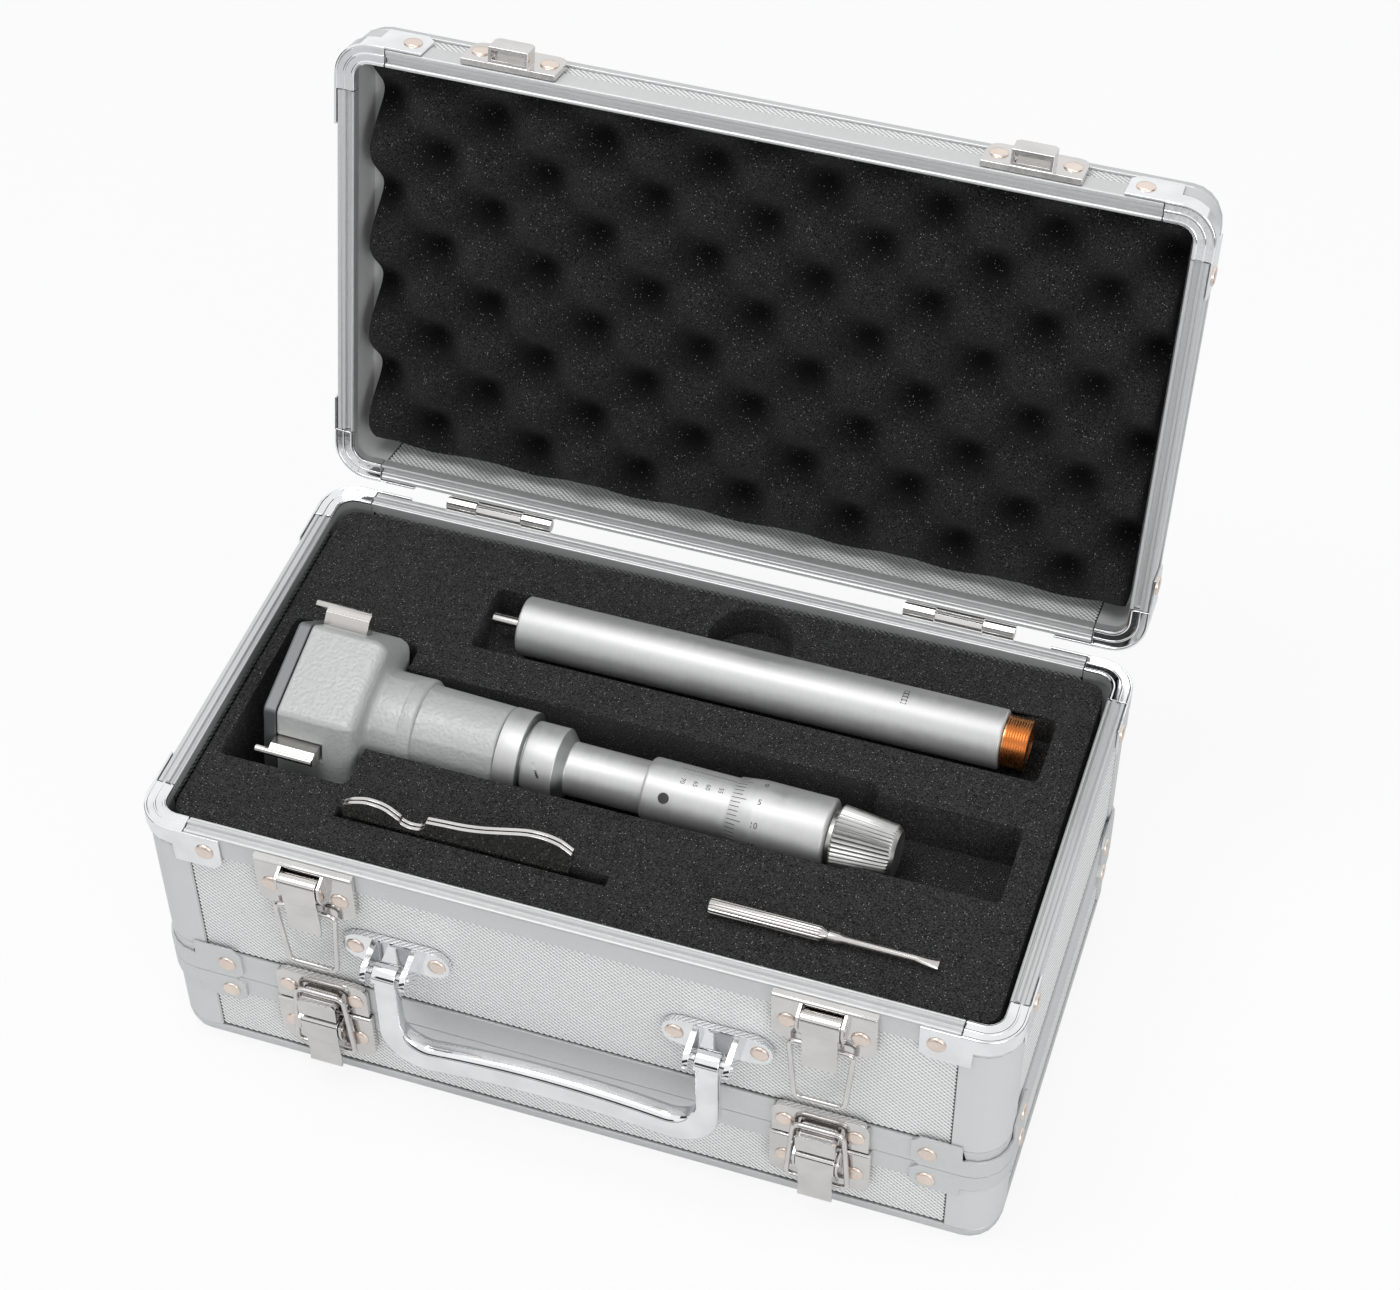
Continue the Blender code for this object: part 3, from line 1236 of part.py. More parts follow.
def micrometer_barrel():
    """Ring, collar, narrow sleeve and scale sleeve, bored from the right for the spindle."""
    begin = WAIST_END + CLEARANCE
    profile = [
        (begin, 0),
        (begin, RING_RADIUS - RING_CHAMFER),
        (begin + RING_CHAMFER, RING_RADIUS),
        (RING_END - RING_CHAMFER, RING_RADIUS),
        (RING_END, RING_RADIUS - RING_CHAMFER),
        (RING_END, GROOVE_RADIUS),
        (GROOVE_END, GROOVE_RADIUS),
        (GROOVE_END, COLLAR_RADIUS),
        (COLLAR_END, COLLAR_RADIUS),
        (SLEEVE_START, SLEEVE_RADIUS),
        (SLEEVE_END, SLEEVE_RADIUS),
        (SLEEVE_END, SCALE_RADIUS - (SCALE_START - SLEEVE_END)),
        (SCALE_START, SCALE_RADIUS),
        (SCALE_END, SCALE_RADIUS),
        (SCALE_END, BARREL_BORE_RADIUS),
        (BARREL_BORE_START, BARREL_BORE_RADIUS),
        (BARREL_BORE_START, 0),
    ]
    return along_micrometer(lathe(profile, ROUND_STEPS))


def micrometer_spindle():
    """The measuring spindle, with the stepped end that the thimble turns on."""
    shoulder = THIMBLE_BORE_END - CLEARANCE
    profile = [
        (SPINDLE_START, 0),
        (SPINDLE_START, SPINDLE_RADIUS),
        (shoulder, SPINDLE_RADIUS),
        (shoulder, SPINDLE_END_RADIUS),
        (THIMBLE_END, SPINDLE_END_RADIUS),
        (THIMBLE_END, 0),
    ]
    return along_micrometer(lathe(profile, ROUND_STEPS))


def micrometer_thimble():
    bore = SCALE_RADIUS + THIMBLE_BORE_GAP
    profile = [
        (THIMBLE_START, bore),
        (THIMBLE_START, bore + THIMBLE_LIP),
        (THIMBLE_BEVEL_END, THIMBLE_RADIUS),
        (THIMBLE_END - THIMBLE_CHAMFER, THIMBLE_RADIUS),
        (THIMBLE_END, THIMBLE_RADIUS - THIMBLE_CHAMFER),
        (THIMBLE_END, SPINDLE_END_RADIUS + CLEARANCE),
        (THIMBLE_BORE_END, SPINDLE_END_RADIUS + CLEARANCE),
        (THIMBLE_BORE_END, bore),
    ]
    return along_micrometer(lathe(profile, ROUND_STEPS))


def micrometer_knob():
    """The ratchet knob, tapering to its end."""
    profile = [
        (THIMBLE_END + CLEARANCE, 0),
        (THIMBLE_END + CLEARANCE, KNOB_NECK_RADIUS),
        (KNOB_START, KNOB_NECK_RADIUS),
        (KNOB_START, KNOB_RADIUS - KNOB_CHAMFER),
        (KNOB_START + KNOB_CHAMFER, KNOB_RADIUS),
        (KNOB_GRIP_END, KNOB_GRIP_END_RADIUS),
        (KNOB_END, KNOB_END_RADIUS),
        (KNOB_END, 0),
    ]
    return along_micrometer(lathe(profile, ROUND_STEPS))


def on_extension(profile):
    return placed(lathe(profile, ROUND_STEPS), Matrix.Translation((0, TUBE_Y, TUBE_Z)))


def extension_tube():
    """The extension tube, bored for the push rod at its left and the ring at its right."""
    rod_bore = ROD_RADIUS + ROD_CLEARANCE
    ring_bore = RING_SPIGOT_RADIUS + CLEARANCE
    outer = TUBE_RADIUS
    profile = [
        (ROD_BORE_RIGHT, 0),
        (ROD_BORE_RIGHT, rod_bore),
        (TUBE_LEFT, rod_bore),
        (TUBE_LEFT, outer - TUBE_CHAMFER),
        (TUBE_LEFT + TUBE_CHAMFER, outer),
        (TUBE_RIGHT - TUBE_CHAMFER, outer),
        (TUBE_RIGHT, outer - TUBE_CHAMFER),
        (TUBE_RIGHT, ring_bore),
        (TUBE_RIGHT - RING_BORE_DEPTH, ring_bore),
        (TUBE_RIGHT - RING_BORE_DEPTH, 0),
    ]
    return on_extension(profile)


def thread_ring():
    """The threaded ring, open through its middle, with a spigot inside the tube."""
    shoulder = TUBE_RIGHT + CLEARANCE
    spigot = TUBE_RIGHT - RING_BORE_DEPTH + CLEARANCE
    profile = [
        (spigot, THREAD_RING_BORE),
        (spigot, RING_SPIGOT_RADIUS),
        (shoulder, RING_SPIGOT_RADIUS),
        (shoulder, THREAD_RING_RADIUS),
        (THREAD_RING_RIGHT - THREAD_CHAMFER, THREAD_RING_RADIUS),
        (THREAD_RING_RIGHT, THREAD_RING_RADIUS - THREAD_CHAMFER),
        (THREAD_RING_RIGHT, THREAD_RING_BORE),
    ]
    return on_extension(profile)


def push_rod():
    profile = [(ROD_LEFT, 0), (ROD_LEFT, ROD_RADIUS), (ROD_RIGHT, ROD_RADIUS), (ROD_RIGHT, 0)]
    shape = lathe(profile, PIN_STEPS)
    return placed(shape, Matrix.Translation((0, TUBE_Y, TUBE_Z)))


def wrench_outline():
    """The wrench's side view: a low neck, then a long hump that falls at its right end."""
    points = [
        (WRENCH_LEFT + WRENCH_FOOT_INSET, WRENCH_BOTTOM),
        (WRENCH_RIGHT - WRENCH_FOOT_INSET, WRENCH_BOTTOM),
        (WRENCH_RIGHT, WRENCH_BOTTOM + WRENCH_FOOT_INSET),
    ]
    fall = WRENCH_CREST_TOP - WRENCH_RIGHT_TOP
    run = WRENCH_RIGHT - WRENCH_CREST_X
    for step in range(WRENCH_STEPS):
        share = 1 - step / WRENCH_STEPS
        points.append((WRENCH_CREST_X + run * share, WRENCH_CREST_TOP - fall * share**2))
    fall = WRENCH_CREST_TOP - WRENCH_RISE_TOP
    run = WRENCH_CREST_X - WRENCH_RISE_X
    for step in range(WRENCH_STEPS):
        share = step / WRENCH_STEPS
        points.append((WRENCH_CREST_X - run * share, WRENCH_CREST_TOP - fall * share**2))
    points.append((WRENCH_RISE_X, WRENCH_RISE_TOP))
    points.append((WRENCH_NECK_X, WRENCH_NECK_TOP))
    points.append((WRENCH_LEFT, WRENCH_LEFT_TOP))
    points.append((WRENCH_LEFT, WRENCH_BOTTOM + WRENCH_FOOT_INSET))
    return points


def wrench():
    """Two plates on edge with a narrow gap, joined by the pivot pin."""
    half_gap = WRENCH_GAP / 2
    outer = half_gap + WRENCH_PLATE
    outline = wrench_outline()
    near = placed(prism(outline, half_gap, outer), FRONT_FRAME)
    far = placed(prism(outline, -outer, -half_gap), FRONT_FRAME)
    reach = outer + WRENCH_PIVOT_PROUD
    circle = arc((WRENCH_NECK_X, WRENCH_BOTTOM + WRENCH_PIVOT_HEIGHT), WRENCH_PIVOT_RADIUS, 0, 2 * math.pi, PIN_STEPS)
    pin = placed(prism(circle[:-1], -reach, reach), FRONT_FRAME)
    shape = combined(near, [pin, far])
    return placed(shape, Matrix.Translation((0, WRENCH_Y, 0)))


def screwdriver():
    """Grip, collar, shaft and a flat flared tip, all in one."""
    rows = []
    radius = DRIVER_GRIP_RADIUS
    chamfer = DRIVER_CHAMFER
    for along, across, thick in (
        (DRIVER_LEFT, radius - chamfer, radius - chamfer),
        (DRIVER_LEFT + chamfer, radius, radius),
        (DRIVER_GRIP_END, radius, radius),
        (DRIVER_GRIP_END + chamfer, DRIVER_COLLAR_RADIUS, DRIVER_COLLAR_RADIUS),
        (DRIVER_COLLAR_END, DRIVER_COLLAR_RADIUS, DRIVER_COLLAR_RADIUS),
        (DRIVER_COLLAR_END + chamfer, DRIVER_SHAFT_RADIUS, DRIVER_SHAFT_RADIUS),
        (DRIVER_SHAFT_END, DRIVER_SHAFT_RADIUS, DRIVER_SHAFT_RADIUS),
        (DRIVER_TIP_END - chamfer, DRIVER_TIP_HALF_WIDTH, DRIVER_TIP_HALF_THICKNESS),
        (DRIVER_TIP_END, DRIVER_TIP_HALF_WIDTH, DRIVER_TIP_HALF_THICKNESS),
    ):
        circle = arc((0, 0), 1, 0, 2 * math.pi, DRIVER_STEPS)[:-1]
        rows.append([(along, across * y, thick * z) for y, z in circle])
    height = FOAM_TOP + CLEARANCE + DRIVER_GRIP_RADIUS
    return placed(loft(rows), Matrix.Translation((0, DRIVER_Y, height)))


def build_case(looks):
    """The three tiers' walls, rims, strips, caps and foam."""
    band = looks["band"]
    lid_open = Matrix.Translation(LID_AXIS)
    lid_open = lid_open @ Matrix.Rotation(-LID_OPEN_ANGLE, 4, "X")
    lid_open = lid_open @ Matrix.Translation(-LID_AXIS)

    base_floor = EDGE_SKIN + CLEARANCE + FLOOR_THICKNESS
    shell = box_shell(0, 1, BASE_TOP, UPPER_BAND_HEIGHT, base_floor)
    add_node("base_shell", shell, looks["panel"])
    add_node("base_edge_trim", edge_strip(0, True), band)
    plates = []
    for quarter in range(4):
        rim_low = BASE_TOP - UPPER_BAND_HEIGHT
        plates.append(seam_plate(quarter, LOWER_TAB_LOW, LOWER_BAND_LOW, BASE_TOP, rim_low))
    lower = combined(rim(BASE_TOP, True, UPPER_BAND_HEIGHT, True, False), plates)
    add_node("base_rim", lower, band)

    add_node("tray_shell", tray_shell(), looks["panel"], TRAY_AXIS)
    plates = []
    for quarter in range(4):
        rim_high = TRAY_BOTTOM + TRAY_LOWER_BAND_HEIGHT
        plates.append(seam_plate(quarter, UPPER_TAB_HIGH, UPPER_BAND_HIGH, TRAY_BOTTOM, rim_high))
    lower = combined(rim(TRAY_BOTTOM, False, TRAY_LOWER_BAND_HEIGHT, False, False), plates)
    add_node("tray_bottom_rim", lower, band, TRAY_AXIS)
    add_node("tray_top_rim", rim(TRAY_TOP, True, UPPER_BAND_HEIGHT, True, True), band, TRAY_AXIS)
    add_node("tray_foam", tray_foam(), looks["foam"], TRAY_AXIS)

    shell = box_shell(LID_TOP, -1, LID_BOTTOM, UPPER_BAND_HEIGHT, LID_CEILING)
    add_node("lid_shell", shell, looks["panel"], LID_AXIS, lid_open)
    add_node("lid_edge_trim", edge_strip(LID_TOP, False), band, LID_AXIS, lid_open)
    shape = rim(LID_BOTTOM, False, UPPER_BAND_HEIGHT, False, True)
    add_node("lid_rim", shape, band, LID_AXIS, lid_open)
    shape = egg_crate(LID_CEILING - CLEARANCE)
    add_node("lid_foam", shape, looks["foam"], LID_AXIS, lid_open)

    for quarter, place in enumerate(("back_right", "back_left", "front_left", "front_right")):
        shape = corner_cap(quarter, TRAY_TOP, 1)
        add_node(f"tray_corner_cap_{place}", shape, looks["chrome"], TRAY_AXIS)
        shape = corner_cap(quarter, LID_BOTTOM, -1)
        add_node(f"lid_corner_cap_{place}", shape, looks["chrome"], LID_AXIS, lid_open)

    for side, place in ((-1, "left"), (1, "right")):
        here = Matrix.Translation((side * HINGE_CENTRE, LID_AXIS.y, LID_AXIS.z))
        shape = hinge_leaf(True)
        add_node(f"lid_hinge_leaf_{place}", shape, looks["nickel"], LID_AXIS, lid_open @ here)
        shape = hinge_leaf(False)
        add_node(f"tray_hinge_leaf_{place}", shape, looks["nickel"], TRAY_AXIS, here)
        here = Matrix.Translation((side * HINGE_CENTRE, TRAY_AXIS.y, TRAY_AXIS.z))
        shape = hinge_leaf(True)
        add_node(f"tray_lower_hinge_leaf_{place}", shape, looks["nickel"], TRAY_AXIS, here)
        shape = hinge_leaf(False)
        add_node(f"base_hinge_leaf_{place}", shape, looks["nickel"], placement=here)
    return lid_open


def build_latches(looks, lid_open):
    """Four draw latches, their keepers, and the handle with its brackets."""
    nickel = looks["nickel"]
    for side, place in ((-1, "left"), (1, "right")):
        x = side * LATCH_CENTRE
        for tier, top, turn in (("upper", TRAY_TOP, -1), ("lower", LOWER_LATCH_TOP, 1)):
            corner = Matrix.Translation((x, FRONT_Y, top))
            plate_origin = TRAY_AXIS if tier == "upper" else (0, 0, 0)
            add_node(f"{tier}_latch_plate_{place}", latch_plate(), nickel, plate_origin, corner)
            pivot = (x, FRONT_Y - LATCH_PIVOT_OUT, top - LATCH_PIVOT_DROP)
            add_node(f"{tier}_latch_lever_{place}", latch_lever(), nickel, pivot, corner)
            eye = (x, FRONT_Y - BAIL_HOLE_OUT, top - BAIL_HOLE_DROP)
            wires = Matrix.Translation(eye)
            add_node(f"{tier}_latch_bail_{place}", latch_bail(turn), looks["wire"], eye, wires)
        corner = Matrix.Translation((x, FRONT_Y, LOWER_LATCH_TOP))
        add_node(f"tray_keeper_{place}", keeper(), nickel, TRAY_AXIS, corner)
        corner = lid_open @ Matrix.Translation((x, FRONT_Y, TRAY_TOP))
        add_node(f"lid_keeper_{place}", keeper(), nickel, LID_AXIS, corner)

    pin = Vector((HANDLE_CENTRE, FRONT_Y - HANDLE_PIN_OUT, HANDLE_PIN_HEIGHT))
    middle = Matrix.Translation((HANDLE_CENTRE, FRONT_Y, HANDLE_PIN_HEIGHT))
    add_node("handle", handle(), looks["chrome"], pin, middle)
    for side, place in ((-1, "left"), (1, "right")):
        shift = Matrix.Translation((side * HANDLE_LEG_SPACING / 2, 0, 0))
        add_node(f"handle_bracket_{place}", handle_bracket(), looks["chrome"], TRAY_AXIS, middle @ shift)


def build_contents(looks):
    """The micrometer, its extension, the wrench and the screwdriver."""
    start = (MICROMETER_LEFT, MICROMETER_LEFT_Y, MICROMETER_Z)
    add_node("mic_housing", micrometer_housing(), looks["paint"], start)
    add_node("mic_end_cover", micrometer_cover(), looks["cover"], start)
    for turn, place in zip(anvil_turns(), ("back", "front", "bottom")):
        add_node(f"mic_anvil_{place}", micrometer_anvil(turn), looks["steel"], start)
    add_node("mic_barrel", micrometer_barrel(), looks["satin"], start)
    add_node("mic_spindle", micrometer_spindle(), looks["steel"], start)
    add_node("mic_thimble", micrometer_thimble(), looks["satin"], start)
    add_node("mic_ratchet_knob", micrometer_knob(), looks["steel"], start)
    start = (TUBE_LEFT, TUBE_Y, TUBE_Z)
    add_node("extension_tube", extension_tube(), looks["satin"], start)
    add_node("extension_thread_ring", thread_ring(), looks["brass"], start)
    add_node("extension_push_rod", push_rod(), looks["steel"], start)
    add_node("wrench", wrench(), looks["nickel"], (WRENCH_LEFT, WRENCH_Y, WRENCH_BOTTOM))
    add_node("screwdriver", screwdriver(), looks["nickel"], (DRIVER_LEFT, DRIVER_Y, FOAM_TOP))


def build():
    clear_scene()
    looks = {
        "panel": finish_of("panel_sheet", (0.74, 0.75, 0.76), 0.7, 0.38),
        "band": finish_of("band_aluminium", (0.82, 0.83, 0.84), 0.9, 0.3),
        "chrome": finish_of("chrome", (0.86, 0.87, 0.88), 1.0, 0.08),
        "nickel": finish_of("nickel", (0.74, 0.71, 0.68), 1.0, 0.2),
        "wire": finish_of("wire_nickel", (0.72, 0.68, 0.65), 1.0, 0.22),
        "foam": finish_of("foam", (0.025, 0.025, 0.027), 0.0, 0.95),
        "paint": finish_of("hammer_paint", (0.66, 0.68, 0.67), 0.2, 0.45),
        "cover": finish_of("cover_grey", (0.32, 0.33, 0.34), 0.3, 0.4),
        "satin": finish_of("satin_chrome", (0.72, 0.72, 0.73), 1.0, 0.34),
        "steel": finish_of("ground_steel", (0.7, 0.67, 0.64), 1.0, 0.25),
        "brass": finish_of("thread_brass", (0.72, 0.43, 0.22), 1.0, 0.3),
    }
    lid_open = build_case(looks)
    build_latches(looks, lid_open)
    build_contents(looks)


build()
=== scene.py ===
"""The look of a three-tier instrument case and its contents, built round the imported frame."""

import json
import math
import random

import bmesh
import bpy
from mathutils import Matrix, Vector


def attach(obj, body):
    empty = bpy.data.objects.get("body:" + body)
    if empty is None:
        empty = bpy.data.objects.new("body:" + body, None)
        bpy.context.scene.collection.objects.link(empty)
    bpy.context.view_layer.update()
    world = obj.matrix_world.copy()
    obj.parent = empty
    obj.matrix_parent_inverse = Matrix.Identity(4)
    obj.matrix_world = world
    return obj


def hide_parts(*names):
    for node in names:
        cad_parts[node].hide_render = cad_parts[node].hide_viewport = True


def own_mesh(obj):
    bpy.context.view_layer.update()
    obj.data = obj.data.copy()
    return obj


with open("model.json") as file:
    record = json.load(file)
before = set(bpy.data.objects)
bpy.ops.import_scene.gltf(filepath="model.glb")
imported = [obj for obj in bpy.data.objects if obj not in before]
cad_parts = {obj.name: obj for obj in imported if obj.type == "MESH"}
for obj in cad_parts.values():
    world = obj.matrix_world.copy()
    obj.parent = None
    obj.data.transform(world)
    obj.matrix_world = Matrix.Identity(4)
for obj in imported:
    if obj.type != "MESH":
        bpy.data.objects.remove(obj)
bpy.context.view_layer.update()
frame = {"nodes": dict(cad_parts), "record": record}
nodes = frame["nodes"]
body_of_node = {
    node: body for body, members in frame["record"]["behaviour"]["bodies"].items() for node in members
}

MM = 0.001
LENGTH = 300 * MM
WIDTH = 168 * MM
FRONT = -WIDTH / 2
TRAY_TOP = 117 * MM
LID_BOTTOM = 117.5 * MM
CORNER_RADIUS = 12 * MM
LID_AXIS = Vector((0, 86.7 * MM, 117.25 * MM))
LID_OPEN = math.radians(103.55)
LATCH_X = 89 * MM
LOWER_LATCH_TOP = 40.7 * MM
FOAM_TOP = 113.5 * MM
HANDLE_X = -3 * MM
HANDLE_LEG = 56.15 * MM
HANDLE_Z = 81 * MM
MIC = Vector((-125.5 * MM, -8.7 * MM, 106.4 * MM))
MIC_FRAME = Matrix.Translation(MIC) @ Matrix.Rotation(math.radians(-0.98), 4, "Z")
TUBE_FRAME = Matrix.Translation((0, 42.3 * MM, 112 * MM))
# Carries what is placed on the closed lid to the open one.
OPEN_LID = (
    Matrix.Translation(LID_AXIS)
    @ Matrix.Rotation(-LID_OPEN, 4, "X")
    @ Matrix.Translation(-LID_AXIS)
)
RIVET_RADIUS = 3.3
RIVET_HEIGHT = 0.75
TAU = 2 * math.pi
SIDES = ((-1, "left"), (1, "right"))
WALLS = ((-1, "front"), (1, "back"))


def feed(tree, socket, value):
    """Links another node's output to a socket, or sets its value."""
    if isinstance(value, bpy.types.NodeSocket):
        tree.links.new(value, socket)
    else:
        socket.default_value = value


def add_node(tree, kind, inputs=(), **settings):
    made = tree.nodes.new("ShaderNode" + kind)
    for key, value in settings.items():
        setattr(made, key, value)
    for key, value in dict(inputs).items():
        feed(tree, made.inputs[key], value)
    return made


class Look:
    """A material with a Principled shader and short ways to add nodes to it."""

    def __init__(self, name, colour, metallic, roughness):
        self.material = bpy.data.materials.new(name)
        self.material.use_nodes = True
        self.tree = self.material.node_tree
        self.shader = self.tree.nodes["Principled BSDF"]
        self.set("Base Color", (*colour, 1))
        self.set("Metallic", metallic)
        self.set("Roughness", roughness)

    def set(self, name, value):
        """Gives one of the shader's inputs a value or another node's output."""
        feed(self.tree, self.shader.inputs[name], value)

    def node(self, kind, inputs=(), **settings):
        return add_node(self.tree, kind, inputs, **settings)

    def math(self, operation, *values):
        return self.node("Math", dict(enumerate(values)), operation=operation).outputs[0]

    def place(self):
        """The point in the part's frame at rest, whole and as x, y and z in metres."""
        made = self.node("TexCoord")
        parts = self.node("SeparateXYZ", {0: made.outputs["Object"]})
        return made.outputs["Object"], parts.outputs

    def mix(self, share, first, second):
        return self.node("Mix", {0: share, 6: first, 7: second}, data_type="RGBA").outputs[2]

    def noise(self, vector, scale, detail=2.0, roughness=0.5, stretch=None):
        if stretch is not None:
            moved = self.node("Mapping", {"Vector": vector, "Scale": stretch})
            vector = moved.outputs[0]
        inputs = {"Vector": vector, "Scale": scale, "Detail": detail, "Roughness": roughness}
        made = self.node("TexNoise", inputs)
        return made.outputs["Fac"]

    def remap(self, value, low, high, new_low, new_high):
        made = self.node("MapRange", {0: value, 1: low, 2: high, 3: new_low, 4: new_high})
        return made.outputs[0]

    def shade(self, colour, share, amount):
        """The colour, darkened by the amount where the share is low."""
        darker = tuple(amount * part for part in colour)
        self.set("Base Color", self.mix(share, (*darker, 1), (*colour, 1)))

    def bump(self, height, distance, strength):
        made = self.node("Bump", {"Height": height, "Distance": distance, "Strength": strength})
        self.set("Normal", made.outputs[0])


def grey(level):
    return (level, level, level, 1)


def foam_look(name, dark, light, glint_colour, sheen, deep=None):
    """Black open-cell foam: fine cells, mottled tone and small bright specks, which are painted glints; with
    deep given, painted shade darkens the pad's pits.
    """
    look = Look(name, (light, light, light), 0, 0.95)
    where, _ = look.place()
    cells = look.node("TexVoronoi", {"Vector": where, "Scale": 1500.0}, feature="F1")
    fine = look.noise(where, 1900.0, 2.0, 0.7)
    broad = look.noise(where, 140.0, 3.0)
    tone = look.math("MULTIPLY_ADD", fine, 0.9, look.math("MULTIPLY", broad, 0.1))
    tone = look.remap(tone, 0.42, 0.58, 0.0, 1.0)
    colour = look.mix(tone, grey(dark), grey(light))
    # Painted shade: the deeper a point lies in the egg-crate pits, the darker it is painted.
    if deep:
        depth = look.node("Attribute", attribute_name="depth")
        colour = look.mix(depth.outputs["Fac"], colour, grey(deep))
    # Painted glints: small bright spots where light catches the foam's cells.
    glint = look.node("TexVoronoi", {"Vector": where, "Scale": 1250.0}, feature="F1")
    near = look.remap(glint.outputs["Distance"], 0.09, 0.26, 1.0, 0.0)
    chance = look.node("SeparateColor", {0: glint.outputs["Color"]})
    rare = look.math("GREATER_THAN", chance.outputs[0], 0.8)
    glint_spots = look.math("MULTIPLY", near, rare)
    colour = look.mix(glint_spots, colour, grey(glint_colour))
    look.set("Base Color", colour)
    look.set("Specular IOR Level", 0.2)
    look.set("Sheen Weight", sheen)
    look.set("Sheen Roughness", 0.6)
    height = look.math("MULTIPLY_ADD", fine, 0.8, cells.outputs["Distance"])
    look.bump(height, 0.5 * MM, 0.9)
    return look.material


def panel_look():
    """Silver sheet pressed with small lozenges, in rows that run aslant, with painted shade in the valleys
    and a painted shadow along its edges.
    """
    look = Look("panel_embossed", (0.8, 0.8, 0.8), 0.12, 0.42)
    where, part = look.place()
    facing_parts = look.node("SeparateXYZ", {0: look.node("TexCoord").outputs["Normal"]})
    sideways = look.math("GREATER_THAN", look.math("ABSOLUTE", facing_parts.outputs[0]), 0.7)
    along = look.node("Mix", {0: sideways, 2: part[0], 3: part[1]}, data_type="FLOAT")
    pitch = 2.2 * MM
    level = look.math("GREATER_THAN", look.math("ABSOLUTE", facing_parts.outputs[2]), 0.7)
    upward = look.node("Mix", {0: level, 2: part[2], 3: part[1]}, data_type="FLOAT")
    rise = look.math("MULTIPLY", upward.outputs[0], 1.15)
    ridges = []
    for operation in ("ADD", "SUBTRACT"):
        slanted = look.math(operation, along.outputs[0], rise)
        ridges.append(look.math("PINGPONG", look.math("DIVIDE", slanted, pitch), 0.5))
    long_way = look.math("MULTIPLY", ridges[0], 2.0)
    cross_way = look.math("MULTIPLY_ADD", ridges[1], 1.4, 0.3)
    height = look.math("MULTIPLY", long_way, cross_way)
    edge = panel_edges(look, part, sideways)
    pressed = look.math("SUBTRACT", 1.0, edge["flat"])
    height_on_panel = look.math("MULTIPLY", height, pressed)
    # Painted shade: the valleys of the pressed pattern are darker than its crests.
    shade = look.remap(height, 0.04, 0.28, 0.0, 1.0)
    colour = look.mix(shade, grey(0.36), grey(1.0))
    colour = look.mix(edge["flat"], colour, grey(0.68))
    # Painted shadow: a dark saw-tooth line along the sheet's edges, where the bands and strips overlap it.
    teeth = look.math("GREATER_THAN", edge["near"], look.math("MULTIPLY", height, 0.9))
    dark = look.math("MULTIPLY", teeth, look.math("GREATER_THAN", edge["near"], 0.05))
    dark = look.math("MULTIPLY", dark, pressed)
    colour = look.mix(dark, colour, grey(0.03))
    look.set("Base Color", colour)
    wear = look.noise(where, 60.0, 3.0)
    rough = look.remap(wear, 0.3, 0.7, 0.38, 0.52)
    look.set("Roughness", rough)
    look.bump(height_on_panel, 0.45 * MM, 0.9)
    return look.material


def panel_edges(look, part, sideways):
    """Where a flat corner strip covers the sheet, and how near the sheet's own edges are, for the painted
    shadow along them.
    """
    strip = 17.4 * MM
    from_side = look.math("SUBTRACT", LENGTH / 2 - strip, look.math("ABSOLUTE", part[0]))
    from_end = look.math("SUBTRACT", WIDTH / 2 - strip, look.math("ABSOLUTE", part[1]))
    inside = look.node("Mix", {0: sideways, 2: from_side, 3: from_end}, data_type="FLOAT").outputs[0]
    flat = look.math("LESS_THAN", inside, 0.0)
    near = look.remap(inside, 0.0, 0.9 * MM, 1.0, 0.0)
    # The sheets' lower edges have the way 1 and their upper edges the way -1.
    for level, way in ((8.5, 1), (54.5, 1), (32.2, -1), (108.0, -1)):
        above = look.math("MULTIPLY", look.math("SUBTRACT", part[2], level * MM), way)
        band = look.remap(above, 0.0, 0.9 * MM, 1.0, 0.0)
        if way < 0:
            band = look.math("MULTIPLY", band, sideways)
        on = look.math("GREATER_THAN", above, -0.4 * MM)
        near = look.math("MAXIMUM", near, look.math("MULTIPLY", band, on))
    return {"flat": flat, "near": near}


def brushed_look(name, colour, metallic, roughness, stretch, depth=0.02, spread=0.06):
    """Satin metal with fine lines: stretch squeezes the noise across the lines."""
    look = Look(name, colour, metallic, roughness)
    where, _ = look.place()
    lines = look.noise(where, 900.0, 3.0, 0.6, stretch)
    broad = look.noise(where, 45.0, 2.0)
    wear = look.math("MULTIPLY_ADD", lines, 0.7, look.math("MULTIPLY", broad, 0.3))
    rough = look.remap(wear, 0.3, 0.7, roughness - spread, roughness + spread)
    look.set("Roughness", rough)
    look.shade(colour, look.remap(wear, 0.3, 0.7, 0.0, 1.0), 0.92)
    look.bump(lines, depth * MM, 0.5)
    return look.material


def plated_look(name, colour, roughness, spread=0.05):
    """Bright plate with a soft waviness and faint handling marks."""
    look = Look(name, colour, 1, roughness)
    where, _ = look.place()
    broad = look.noise(where, 90.0, 2.0)
    marks = look.noise(where, 700.0, 4.0, 0.65, (1, 0.2, 1))
    rough = look.remap(marks, 0.35, 0.75, max(roughness - spread, 0.02), roughness + spread)
    look.set("Roughness", rough)
    look.shade(colour, look.remap(broad, 0.35, 0.65, 0.0, 1.0), 0.9)
    look.bump(broad, 0.12 * MM, 0.35)
    return look.material


